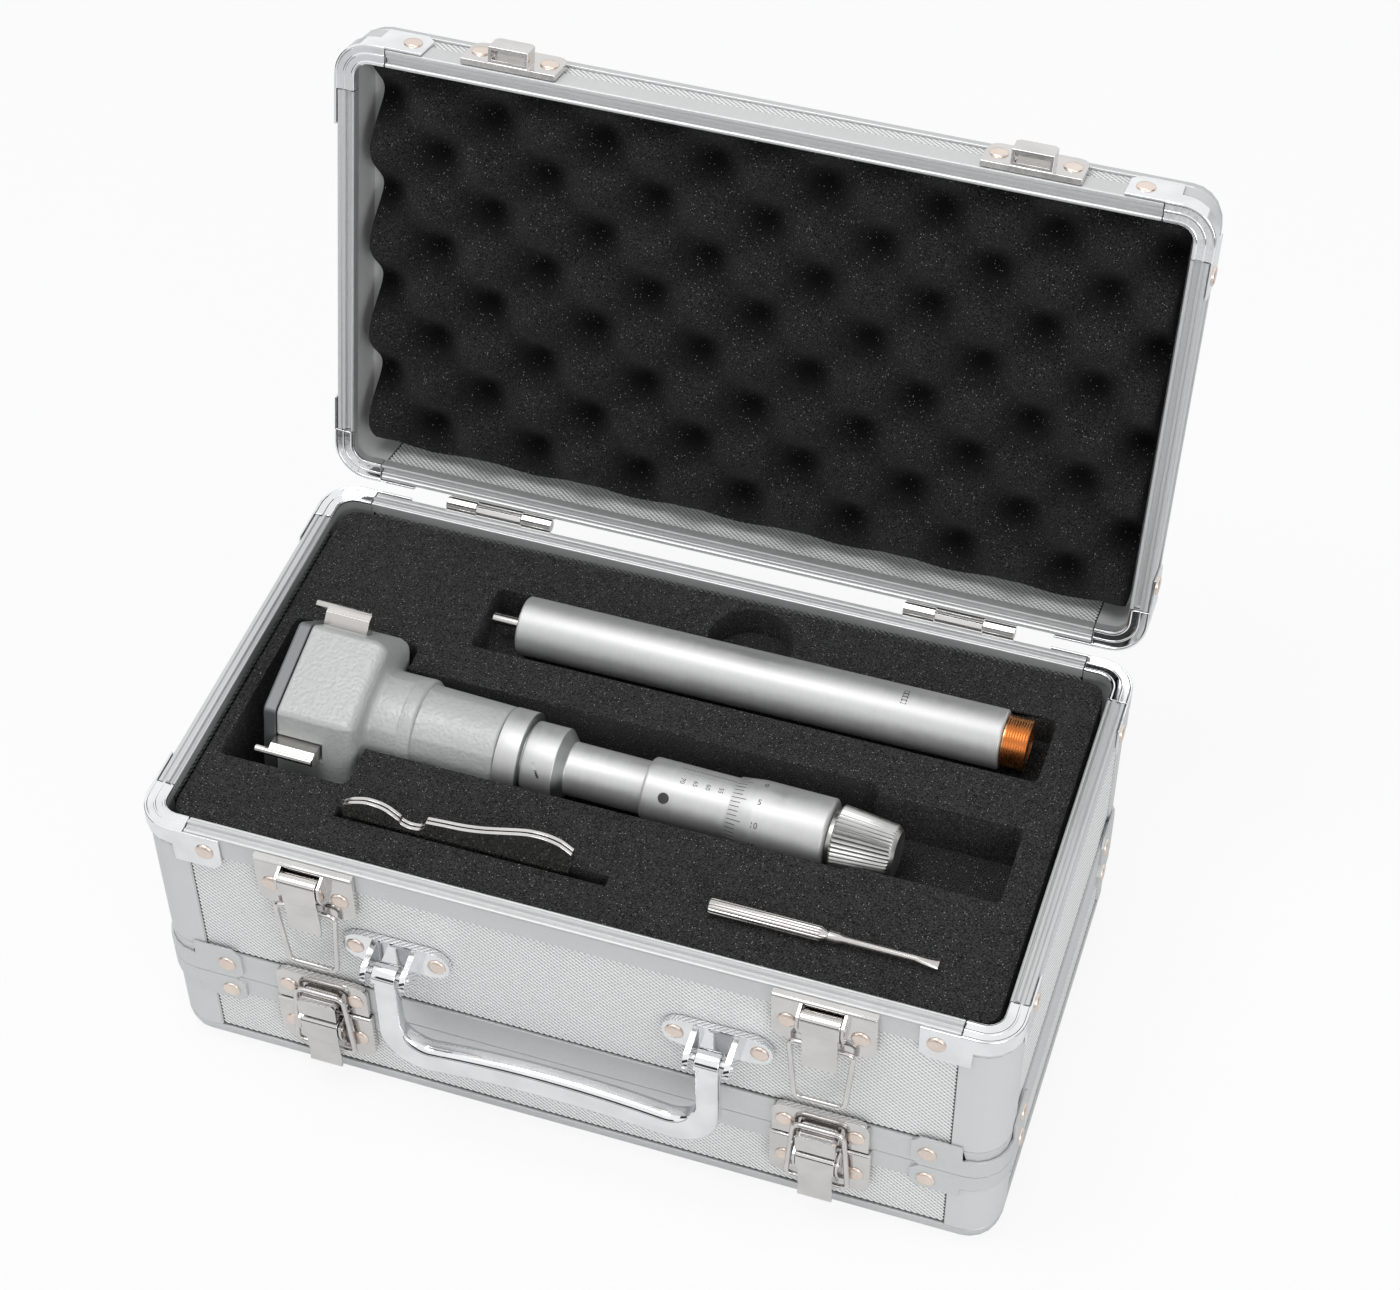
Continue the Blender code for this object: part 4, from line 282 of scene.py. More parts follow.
def hammer_look():
    """Light grey hammered enamel: shallow dimples with soft rims and a faint mottle."""
    look = Look("hammer_enamel", (0.5, 0.52, 0.51), 0.1, 0.4)
    where, _ = look.place()
    bent = look.node("TexNoise", {"Vector": where, "Scale": 420.0, "Detail": 2.0})
    shift = look.node("VectorMath", {0: bent.outputs["Color"], 1: (0.0014,) * 3}, operation="MULTIPLY")
    moved = look.node("VectorMath", {0: where, 1: shift.outputs[0]}, operation="ADD")
    inputs = {"Vector": moved.outputs[0], "Scale": 820.0, "Smoothness": 1.0}
    cells = look.node("TexVoronoi", inputs, feature="SMOOTH_F1")
    mottle = look.remap(cells.outputs["Distance"], 0.1, 0.6, 0.0, 1.0)
    cloud = look.noise(where, 260.0, 3.0)
    tone = look.math("MULTIPLY_ADD", cloud, 0.6, look.math("MULTIPLY", mottle, 0.4))
    colour = look.mix(look.remap(tone, 0.2, 0.8, 0.0, 1.0), (0.49, 0.505, 0.495, 1), (0.54, 0.555, 0.545, 1))
    look.set("Base Color", colour)
    look.set("Roughness", look.remap(cloud, 0.3, 0.7, 0.34, 0.46))
    look.bump(mottle, 0.16 * MM, 0.5)
    return look.material


def turned_look(name, colour, roughness, depth, metallic=1.0):
    """Metal finished on a lathe: fine rings round the X axis."""
    look = Look(name, colour, metallic, roughness)
    where, _ = look.place()
    rings = look.noise(where, 1600.0, 3.0, 0.6, (1, 0.02, 0.02))
    cloud = look.noise(where, 300.0, 2.0)
    tone = look.math("MULTIPLY_ADD", rings, 0.6, look.math("MULTIPLY", cloud, 0.4))
    rough = look.remap(tone, 0.3, 0.7, roughness - 0.06, roughness + 0.06)
    look.set("Roughness", rough)
    look.shade(colour, look.remap(tone, 0.35, 0.65, 0.0, 1.0), 0.93)
    look.set("Anisotropic", 0.3)
    look.bump(rings, depth * MM, 0.4)
    return look.material


def ink_look():
    look = Look("engraving_ink", (0.03, 0.03, 0.03), 0, 0.6)
    where, _ = look.place()
    grain = look.noise(where, 1200.0, 2.0)
    look.set("Base Color", look.mix(grain, grey(0.02), grey(0.07)))
    return look.material


LOOKS = {
    # The third value is the colour of the painted glints.
    "foam": foam_look("foam_fine", 0.001, 0.052, 0.5, 0.07),
    # The last value is the painted shade at the bottom of the pits.
    "egg_foam": foam_look("foam_egg_crate", 0.001, 0.032, 0.36, 0.03, 0.0005),
    "panel": panel_look(),
    "band": brushed_look("band_satin", (0.68, 0.69, 0.69), 0.6, 0.4, (1, 0.02, 1)),
    "chrome": plated_look("chrome_plate", (0.88, 0.89, 0.9), 0.09),
    "nickel": plated_look("nickel_plate", (0.7, 0.685, 0.67), 0.11, 0.05),
    "knurled": plated_look("knurled_steel", (0.52, 0.52, 0.51), 0.36, 0.06),
    "wire": plated_look("wire_plate", (0.72, 0.7, 0.69), 0.16, 0.06),
    "rivet": plated_look("rivet_plate", (0.86, 0.74, 0.66), 0.34, 0.08),
    "enamel": hammer_look(),
    "cover": brushed_look("cover_dark", (0.2, 0.205, 0.21), 0.7, 0.42, (1, 1, 0.05)),
    "satin": turned_look("satin_turned", (0.66, 0.66, 0.66), 0.5, 0.006, 0.7),
    "polished": turned_look("polished_turned", (0.5, 0.51, 0.51), 0.42, 0.006),
    "ground": brushed_look("ground_steel", (0.6, 0.58, 0.56), 1.0, 0.22, (0.05, 1, 1)),
    "copper": turned_look("thread_brass", (0.78, 0.42, 0.2), 0.26, 0.01),
    "ink": ink_look(),
}


def new_object(name, mesh, look, body, smooth_angle=30):
    mesh.shade_smooth()
    mesh.set_sharp_from_angle(angle=math.radians(smooth_angle))
    for one in look if isinstance(look, (list, tuple)) else (look,):
        mesh.materials.append(LOOKS[one])
    made = bpy.data.objects.new(name, mesh)
    bpy.context.scene.collection.objects.link(made)
    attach(made, body)
    return made


def from_bmesh(name, shape, look, body, placement=None, smooth_angle=30):
    if placement is not None:
        shape.transform(placement)
    bmesh.ops.recalc_face_normals(shape, faces=shape.faces)
    mesh = bpy.data.meshes.new(name)
    shape.to_mesh(mesh)
    shape.free()
    return new_object(name, mesh, look, body, smooth_angle)


def stand_in(node, shape, look, placement=None, smooth_angle=30, name=None):
    """A finished piece that takes the place of a CAD node, on the same body."""
    name = name or node + "_dressed"
    made = from_bmesh(name, shape, look, body_of_node[node], placement, smooth_angle)
    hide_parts(node)
    return made


def clean_copy(node, whole=True):
    """A fresh mesh of a CAD node, by choice with its flat faces whole again."""
    shape = bmesh.new()
    shape.from_mesh(nodes[node].data)
    bmesh.ops.remove_doubles(shape, verts=shape.verts, dist=0.002 * MM)
    if whole:
        bmesh.ops.dissolve_limit(shape, angle_limit=math.radians(0.6), verts=shape.verts, edges=shape.edges)
    points = [tuple(vert.co) for vert in shape.verts]
    shape.verts.index_update()
    faces = [[vert.index for vert in face.verts] for face in shape.faces]
    shape.free()
    mesh = bpy.data.meshes.new(node + "_dressed")
    mesh.from_pydata(points, [], faces)
    return mesh


def dressed(node, look, width, segments=2, angle=30, smooth_angle=40, whole=True):
    """The CAD node's own shape with its hard edges broken, in its place."""
    mesh = clean_copy(node, whole)
    made = new_object(node + "_dressed", mesh, look, body_of_node[node], smooth_angle)
    break_edges(made, width, segments, angle)
    even_normals(made)
    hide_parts(node)
    return made


def break_edges(made, width, segments, angle):
    """Rounds edges that turn by more than angle degrees."""
    bevel = made.modifiers.new("edges", "BEVEL")
    bevel.width = width * MM
    bevel.segments = segments
    bevel.limit_method = "ANGLE"
    bevel.angle_limit = math.radians(angle)


def even_normals(made):
    """Keeps wide flat faces flat beside their rounded edges."""
    evened = made.modifiers.new("normals", "WEIGHTED_NORMAL")
    evened.keep_sharp = True


def round_point(along, radius, turn):
    """A point in metres on a turned surface about the X axis, from millimetres."""
    return along * MM, radius * MM * math.cos(turn), radius * MM * math.sin(turn)


def lathe(profile, steps):
    """Turns (along, radius) points in millimetres about the X axis."""
    shape = bmesh.new()
    rings = []
    for along, radius in profile:
        turns = [TAU * step / steps for step in range(steps if radius > 0 else 1)]
        rings.append([shape.verts.new(round_point(along, radius, turn)) for turn in turns])
    if profile[0][1] > 0 and profile[0] != profile[-1]:
        rings.append(rings[0])
    join_rings(shape, rings, steps)
    return shape


def join_rings(shape, rings, steps):
    """Faces between rings of points; a ring of one point is a tip."""
    for ring, following in zip(rings, rings[1:]):
        for step in range(steps):
            after = (step + 1) % steps
            corners = [ring[step % len(ring)], following[step % len(following)]]
            corners += [following[after % len(following)], ring[after % len(ring)]]
            shape.faces.new(list(dict.fromkeys(corners)))


def bend(start, corner, end, steps):
    """Points on a curve that rounds a corner off."""
    found = []
    for step in range(steps + 1):
        share = step / steps
        found.append(start.lerp(corner, share).lerp(corner.lerp(end, share), share))
    return found


def rounded_profile(points, radius, steps=3):
    """Rounds the corners of a turned profile, apart from those on the axis."""
    found = []
    for index, point in enumerate(points):
        here = Vector(point)
        if index in (0, len(points) - 1) or point[1] == 0:
            found.append(tuple(here))
            continue
        before = Vector(points[index - 1]) - here
        after = Vector(points[index + 1]) - here
        reach = min(radius, before.length / 2.2, after.length / 2.2)
        if before.length < 1e-6 or after.length < 1e-6 or reach < 0.02:
            found.append(tuple(here))
            continue
        start = here + before.normalized() * reach
        end = here + after.normalized() * reach
        found += [tuple(spot) for spot in bend(start, here, end, steps)]
    return found


def dome(radius, height, steps=24, rows=4):
    """A low rivet head standing on the XY plane."""
    profile = [(0, radius)]
    for row in range(1, rows):
        turn = math.pi / 2 * row / rows
        profile.append((height * math.sin(turn), radius * (0.72 + 0.28 * math.cos(turn))))
    profile += [(height, radius * 0.55), (height, 0)]
    profile = [(-0.15, 0), (-0.15, radius)] + profile
    shape = lathe(profile, steps)
    shape.transform(Matrix.Rotation(-math.pi / 2, 4, "Y"))
    return shape


def facing(normal):
    """A frame at the origin whose Z axis is the given direction."""
    return Vector(normal).to_track_quat("Z", "Y").to_matrix().to_4x4()


def rivet(name, body, point, normal, placement=None):
    place = Matrix.Translation(Vector(point) * MM) @ facing(normal)
    if placement is not None:
        place = placement @ place
    from_bmesh(name, dome(RIVET_RADIUS, RIVET_HEIGHT), "rivet", body, place, 50)


def bend_onto_cylinder(mesh, radius, turn, along):
    """Wraps flat text in XY round the X axis: its X goes along the axis, its Y goes round."""
    for vert in mesh.vertices:
        angle = turn - vert.co.y / radius
        depth = radius + vert.co.z
        vert.co = Vector((along + vert.co.x, depth * math.cos(angle), depth * math.sin(angle)))


def label(name, text, size, radius, turn, along, body, quarter=0):
    """A plain number engraved on a turned sleeve."""
    curve = bpy.data.curves.new(name, "FONT")
    curve.body = text
    curve.size = size * MM
    curve.extrude = 0.02 * MM
    curve.align_x = "CENTER"
    curve.align_y = "CENTER"
    holder = bpy.data.objects.new(name, curve)
    bpy.context.scene.collection.objects.link(holder)
    bpy.context.view_layer.update()
    graph = bpy.context.evaluated_depsgraph_get()
    mesh = bpy.data.meshes.new_from_object(holder.evaluated_get(graph))
    bpy.data.objects.remove(holder, do_unlink=True)
    mesh.transform(Matrix.Rotation(quarter * math.pi / 2, 4, "Z"))
    bend_onto_cylinder(mesh, radius * MM, turn, along * MM)
    mesh.transform(MIC_FRAME)
    mesh.materials.clear()
    return new_object(name, mesh, "ink", body, 30)


def strokes(name, marks, body, look="ink", placement=MIC_FRAME):
    """Engraved lines on a turned surface.

    Each mark has its two ends along the axis, its two turns and the radius at either end.
    """
    shape = bmesh.new()
    for start, end, low, high, radius_start, radius_end in marks:
        steps = max(1, int(abs(high - low) / 0.12))
        for step in range(steps):
            a = low + (high - low) * step / steps
            b = low + (high - low) * (step + 1) / steps
            corners = []
            for along, turn, radius in (
                (start, a, radius_start),
                (end, a, radius_end),
                (end, b, radius_end),
                (start, b, radius_start),
            ):
                corners.append(round_point(along, radius, turn))
            shape.faces.new([shape.verts.new(corner) for corner in corners])
    bmesh.ops.solidify(shape, geom=shape.faces[:], thickness=0.02 * MM)
    return from_bmesh(name, shape, look, body, placement)


def dress_case():
    """Shells, rims, strips, caps, leaves and latch parts."""
    for name in ("base_shell", "tray_shell", "lid_shell"):
        mesh = clean_copy(name)
        made = new_object(name + "_dressed", mesh, "panel", body_of_node[name], 30)
        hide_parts(name)
    for name in ("base_rim", "tray_bottom_rim", "base_edge_trim", "lid_edge_trim"):
        dressed(name, "band", 0.25)
    rim_rails("tray_top_rim", TRAY_TOP / MM, 1, True, None)
    rim_rails("lid_rim", LID_BOTTOM / MM, -1, False, OPEN_LID)
    cap_ridges("tray_cap_ridges", TRAY_TOP / MM, 1, "tray", None)
    cap_ridges("lid_cap_ridges", LID_BOTTOM / MM, -1, "lid", OPEN_LID)
    for name in nodes:
        if "corner_cap" in name:
            dressed(name, "chrome", 0.3, 3)
        elif name.startswith("handle_bracket"):
            dressed(name, "chrome", 0.25, 2, whole=False)
        elif "keeper" in name or "latch_plate" in name:
            dressed(name, "nickel", 0.3, 2, whole=False)
        elif "hinge_leaf" in name:
            dressed(name, "nickel", 0.15, 2)


def side_prism(shape, outline, half, centre, top):
    """Adds a solid whose (out, drop) outline, in millimetres, runs across the case's front."""
    rings = []
    for side in (-half, half):
        x = (centre + side) * MM
        points = [(x, FRONT - out * MM, (top - drop) * MM) for out, drop in outline]
        rings.append([shape.verts.new(point) for point in points])
    close_rings(shape, rings)


def latch_lever(name, centre, top, end):
    """A lever with a boxed head over its pin and a stepped tail that ends in a lip."""
    head = [(7.4, 1.7), (8.2, 2.4), (8.4, 3.2), (8.4, 9.0), (7.9, 9.6), (6.4, 9.6), (4.2, 7.9)]
    for step in range(9):
        turn = math.pi / 2 * step / 8
        head.append((6.1 - 3.4 * math.cos(turn), 4.8 - 3.4 * math.sin(turn)))
    tail = [
        (7.6, 8.6), (7.45, 13.6), (7.15, 13.9), (7.0, 19.6), (6.75, 19.9), (6.6, end - 5.7),
        (6.7, end - 3.2), (7.1, end - 0.4), (6.9, end), (6.1, end - 0.2), (5.85, end - 3.2),
        (5.75, end - 5.7), (6.0, 19.6), (6.6, 8.6),
    ]
    cheek = [(4.2, 7.0), (6.9, 7.0), (6.2, 21.6), (3.5, 22.0), (3.1, 21.0), (3.1, 9.6)]
    shape = bmesh.new()
    side_prism(shape, head, 6.7, centre, top)
    side_prism(shape, tail, 6.0, centre, top)
    for side in (-5.55, 5.55):
        side_prism(shape, cheek, 0.4, centre + side, top)
    made = stand_in(name, shape, "nickel", None, 35)
    break_edges(made, 0.22, 3, 38)
    even_normals(made)


def plate_lip(name, centre, top, half=17.3):
    """The rolled upper edge of a latch plate."""
    profile = rounded_profile([(-half, 0), (-half, 0.85), (half, 0.85), (half, 0)], 0.3)
    shape = lathe(profile, 20)
    place = Matrix.Translation((centre * MM, FRONT - 2.35 * MM, (top - 0.9) * MM))
    from_bmesh(name + "_lip", shape, "nickel", body_of_node[name], place, 50)


def latches():
    for way, side in SIDES:
        centre = way * LATCH_X / MM
        for tier, top, end in (("upper", TRAY_TOP / MM, 28.6), ("lower", LOWER_LATCH_TOP / MM, 26.8)):
            latch_lever(f"{tier}_latch_lever_{side}", centre, top, end)
            plate_lip(f"{tier}_latch_plate_{side}", centre, top)


def outline_point(corner, turn, inset):
    """A point on the case's rounded outline, moved inwards; corners run from the back right."""
    centre_x = (LENGTH / 2 - CORNER_RADIUS) * (1, -1, -1, 1)[corner]
    centre_y = (WIDTH / 2 - CORNER_RADIUS) * (1, 1, -1, -1)[corner]
    angle = math.pi / 2 * (corner + turn)
    reach = CORNER_RADIUS - inset * MM
    return Vector((centre_x + reach * math.cos(angle), centre_y + reach * math.sin(angle), 0))


def corner_rail(shape, corner, section, beyond, steps=12):
    """Sweeps a closed (inset, height) section round one corner and a little past both ends."""
    rings = []
    for station in range(-1, steps + 2):
        turn = min(max(station / steps, 0), 1)
        ring = []
        for inset, height in section:
            point = outline_point(corner, turn, inset)
            if station in (-1, steps + 1):
                away = math.pi / 2 * (corner + turn) + (math.pi / 2 if station > 0 else -math.pi / 2)
                point += Vector((math.cos(away), math.sin(away), 0)) * beyond * MM
            point.z = height * MM
            ring.append(shape.verts.new(point))
        rings.append(ring)
    close_rings(shape, rings)


def straight_rail(shape, corner, section, from_corner):
    """Runs a section from one corner to the next, and stops short of both."""
    rings = []
    after = (corner + 1) % 4
    for here, turn, way in ((corner, 1.0, 1), (after, 0.0, -1)):
        ahead = math.pi / 2 * (corner + 2)
        shift = Vector((math.cos(ahead), math.sin(ahead), 0)) * way * (from_corner * MM - CORNER_RADIUS)
        ring = []
        for inset, height in section:
            point = outline_point(here, turn, inset) + shift
            point.z = height * MM
            ring.append(shape.verts.new(point))
        rings.append(ring)
    close_rings(shape, rings)


def close_rings(shape, rings):
    count = len(rings[0])
    for ring, following in zip(rings, rings[1:]):
        for index in range(count):
            after = (index + 1) % count
            shape.faces.new((ring[index], ring[after], following[after], following[index]))
    shape.faces.new(rings[0])
    shape.faces.new(rings[-1])


def bead(centre, height, radius, turn, steps=7):
    """A half-round ridge's section, standing towards turn."""
    points = []
    for step in range(steps + 1):
        angle = math.pi * step / steps
        points.append((centre - radius * math.cos(angle), height + turn * radius * 0.75 * math.sin(angle)))
    points += [(centre + radius, height - turn * 0.3), (centre - radius, height - turn * 0.3)]
    return points


def rim_rails(node, plane, turn, tongue, placement):
    """A rim extrusion with its rounded outer bead, valley, tongue or groove, and inner lip."""
    outer = [
        (0.0, -9.0), (0.0, -0.9), (0.12, -0.45), (0.4, -0.12), (0.85, 0), (1.5, -0.05), (1.75, -0.35),
        (2.0, -0.5), (2.9, -0.5),
    ]
    middle = [(3.05, -0.7), (3.1, -1.8), (4.9, -1.8), (4.95, -0.7)]
    if tongue:
        middle = [(3.15, -0.3), (3.3, 0.75), (3.5, 1.0), (4.4, 1.0), (4.6, 0.75), (4.75, -0.3)]
    inner = [(5.1, -0.4), (5.45, -0.08), (5.9, 0), (6.3, -0.15), (6.4, -0.5)]
    back = [(6.4, -4.0), (5.5, -4.0), (5.5, -2.6), (1.3, -2.6), (1.3, -9.0)]
    top = [(0.0, -9.0), (0.0, -1.2), (6.4, -1.2)]
    face = [(inset, plane + turn * offset) for inset, offset in outer + middle + inner + back]
    low = [(inset, plane + turn * offset) for inset, offset in top + back]
    shape = bmesh.new()
    for corner in range(4):
        straight_rail(shape, corner, face, 17.6)
        corner_rail(shape, corner, low, 5.2)
    stand_in(node, shape, "band", placement, 28)


def cap_ridges(name, plane, turn, body, placement):
    """The pressed ridges along each corner cap's flange, which follow the rim."""
    shape = bmesh.new()
    ridges = ((-0.35, 0.25, 0.62, 5.2), (2.6, 0.2, 0.5, 5.1), (5.6, 0.4, 0.75, 5.1))
    for corner in range(4):
        for inset, sunk, radius, beyond in ridges:
            corner_rail(shape, corner, bead(inset, plane - turn * sunk, radius, turn), beyond)
    from_bmesh(name, shape, "chrome", body, placement, 50)


def paint(node, look):
    """A CAD node whose shape is right keeps it and gets a finished material."""
    mesh = nodes[node].data
    mesh.materials.clear()
    mesh.materials.append(LOOKS[look])


def case_rivets():
    """Rivet heads on the corner plates, latch plates, keepers and handle brackets."""
    proud = 1.05
    reach = 24.8
    x = LENGTH / MM / 2 - reach
    y = WIDTH / MM / 2 - reach
    rows = (
        ("tray_top", "tray", 110.0, None),
        ("tray_seam", "tray", 48.7, None),
        ("base_seam", "base", 34.2, None),
        ("lid_rim", "lid", 124.6, OPEN_LID),
    )
    for row, body, height, placement in rows:
        for side, end in SIDES:
            for way, wall in WALLS:
                point = (side * x, way * (WIDTH / MM / 2 + proud), height)
                rivet(f"rivet_{row}_{wall}_{end}", body, point, (0, way, 0), placement)
            for way, wall in WALLS:
                point = (side * (LENGTH / MM / 2 + proud), way * y, height)
                rivet(f"rivet_{row}_{end}_{wall}", body, point, (side, 0, 0), placement)
    plate_face = FRONT / MM - 2.4
    bracket_face = FRONT / MM - 1.8
    latch_rivet_reach = 12.2
    bracket_rivet_reach = 14.6
    latch_rows = (
        ("upper_latch", "tray", 104.4, None),
        ("lower_latch", "base", 28.1, None),
        ("tray_keeper", "tray", 48.9, None),
        ("lid_keeper", "lid", 125.4, OPEN_LID),
    )
    forward = (0, -1, 0)
    for side, end in SIDES:
        for one in (-1, 1):
            mark = f"{end}_outer" if side == one else f"{end}_inner"
            here = side * LATCH_X / MM + one * latch_rivet_reach
            for row, body, height, placement in latch_rows:
                rivet(f"rivet_{row}_{mark}", body, (here, plate_face, height), forward, placement)
            here = HANDLE_X / MM + side * HANDLE_LEG / MM + one * bracket_rivet_reach
            rivet(f"rivet_bracket_{mark}", "tray", (here, bracket_face, HANDLE_Z / MM), forward)


def egg_crate():
    """The lid's pad: rows of rounded lobes 39 mm apart, each row half a step over."""
    left, right, back, front = -140.0, 141.0, 73.5, -75.0
    low, high, base = 121.0, 136.6, 138.4
    columns, lines = 170, 90
    half_step_x, half_step_y = 19.6, 17.9
    shape = bmesh.new()
    deep = shape.verts.layers.float.new("depth")
    rng = random.Random(5)
    drift = [[rng.uniform(-0.5, 0.5) for _ in range(24)] for _ in range(24)]
    top = []
    for line in range(lines + 1):
        y = front + (back - front) * line / lines
        row = []
        for column in range(columns + 1):
            x = left + (right - left) * column / columns
            wave = math.cos(math.pi * (x - 0.5) / half_step_x) * math.cos(math.pi * (y - 10) / half_step_y)
            # Peaks are broad and round, pits are narrower.
            share = ((1 + wave) / 2) ** 0.72
            edge = min(x - left, right - x, y - front, back - y)
            fall = 1.2 * max(0.0, 1 - edge / 1.5) ** 2
            wander = drift[int((y + 90) // 18) % 24][int((x + 160) // 20) % 24]
            z = high + (low - high) * share + fall + 0.3 * wander * share
            row.append(shape.verts.new((x * MM, y * MM, z * MM)))
            # How far down a pit the point lies, read by the material as painted shade.
            row[-1][deep] = min(max((z - 125.0) / 9.0, 0), 1)
        top.append(row)
    for line in range(lines):
        for column in range(columns):
            here, beyond = top[line], top[line + 1]
            shape.faces.new((here[column], here[column + 1], beyond[column + 1], beyond[column]))
    rim_loop = top[0] + [row[-1] for row in top[1:]] + top[-1][-2::-1] + [row[0] for row in top[-2:0:-1]]
    under = [shape.verts.new((vert.co.x, vert.co.y, base * MM)) for vert in rim_loop]
    for index in range(len(rim_loop)):
        after = (index + 1) % len(rim_loop)
        shape.faces.new((rim_loop[index], rim_loop[after], under[after], under[index]))
    shape.faces.new(under)
    pad = stand_in("lid_foam", shape, "egg_foam", OPEN_LID, 60, "lid_foam_pad")
    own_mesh(pad)


def tray_pad():
    """The tray's foam insert with softly broken edges round every pocket."""
    pad = dressed("tray_foam", "foam", 0.5, 2, 40, 60)


def bail_wire(name, centre, top, turn):
    """A bent wire bail with round corners and a straight bar."""
    corners = ((10.8, 0), (8.6, 30), (-8.6, 30), (-10.8, 0))
    points = [(4.7, 0), *corners, (-4.7, 0)]
    found = [Vector(points[0])]
    for before, here, after in zip(points, points[1:], points[2:]):
        here = Vector(here)
        start = here + (Vector(before) - here).normalized() * 3.0
        end = here + (Vector(after) - here).normalized() * 3.0
        found += bend(start, here, end, 6)
    found.append(Vector(points[-1]))
    shape = bmesh.new()
    rings = []
    sides = 14
    radius = 1.0
    for index, here in enumerate(found):
        before = found[max(index - 1, 0)]
        after = found[min(index + 1, len(found) - 1)]
        ahead = (after - before).normalized()
        across = Vector((-ahead.y, ahead.x))
        ring = []
        for side in range(sides):
            angle = TAU * side / sides
            point = here + across * radius * math.cos(angle)
            out = radius * math.sin(angle)
            ring.append(shape.verts.new((point.x * MM, out * MM, turn * point.y * MM)))
        rings.append(ring)
    close_rings(shape, rings)
    place = Matrix.Translation((centre, FRONT - 4.6 * MM, top - 19.5 * MM))
    stand_in(name, shape, "wire", place, 50)


def handle_loop():
    """The cast handle: two legs, round corners and a deep grip that is arched a little."""
    leg, low, high, arch = HANDLE_LEG / MM, 36.5, 48.7, 3.0
    half_leg, outer_bend, inner_bend = 4.2, 17.0, 10.0
    pairs = [
        ((leg + half_leg, HANDLE_Z / MM), (leg - half_leg, HANDLE_Z / MM)),
        ((leg + half_leg, 62.0), (leg - half_leg, 66.0)),
    ]
    outer_centre = (leg + half_leg - outer_bend, low + outer_bend)
    inner_centre = (leg - half_leg - inner_bend, high + inner_bend)
    for step in range(13):
        turn = -math.pi / 2 * step / 12
        reach = (math.cos(turn), math.sin(turn))
        outer = (outer_centre[0] + outer_bend * reach[0], outer_centre[1] + outer_bend * reach[1])
        inner = (inner_centre[0] + inner_bend * reach[0], inner_centre[1] + inner_bend * reach[1])
        pairs.append((outer, inner))
    spans = 14
    for step in range(1, spans + 1):
        share = 1 - step / spans
        rise = arch * (1 - share**2)
        pairs.append(((outer_centre[0] * share, low + rise), (inner_centre[0] * share, high + rise)))
    pairs += [((-outer[0], outer[1]), (-inner[0], inner[1])) for outer, inner in pairs[-2::-1]]
    shape = bmesh.new()
    rings = []
    sides = 24
    centre_depth = 10.8
    for outer, inner in pairs:
        outer, inner = Vector(outer), Vector(inner)
        middle = (outer + inner) / 2
        half = (outer - inner).length / 2
        across = (outer - inner).normalized()
        grip = min(max((half - half_leg) / 1.9, 0), 1)
        deep = 3.0 + 0.9 * grip
        ring = []
        for side in range(sides):
            turn = TAU * side / sides
            a = math.copysign(abs(math.cos(turn)) ** 0.62, math.cos(turn)) * half
            b = math.copysign(abs(math.sin(turn)) ** 0.62, math.sin(turn)) * deep
            place = middle + across * a
            point = (HANDLE_X + place.x * MM, FRONT - (centre_depth + b) * MM, place.y * MM)
            ring.append(shape.verts.new(point))
        rings.append(ring)
    close_rings(shape, rings)
    for side in (-1, 1):
        profile = rounded_profile([(-4.3, 0), (-4.3, 4.1), (4.3, 4.1), (4.3, 0)], 0.6)
        knuckle = lathe(profile, 32)
        place = Matrix.Translation((HANDLE_X + side * leg * MM, FRONT - 9.8 * MM, HANDLE_Z))
        knuckle.transform(place)
        mesh = bpy.data.meshes.new("knuckle")
        knuckle.to_mesh(mesh)
        knuckle.free()
        shape.from_mesh(mesh)
        bpy.data.meshes.remove(mesh)
    stand_in("handle", shape, "chrome", None, 40)


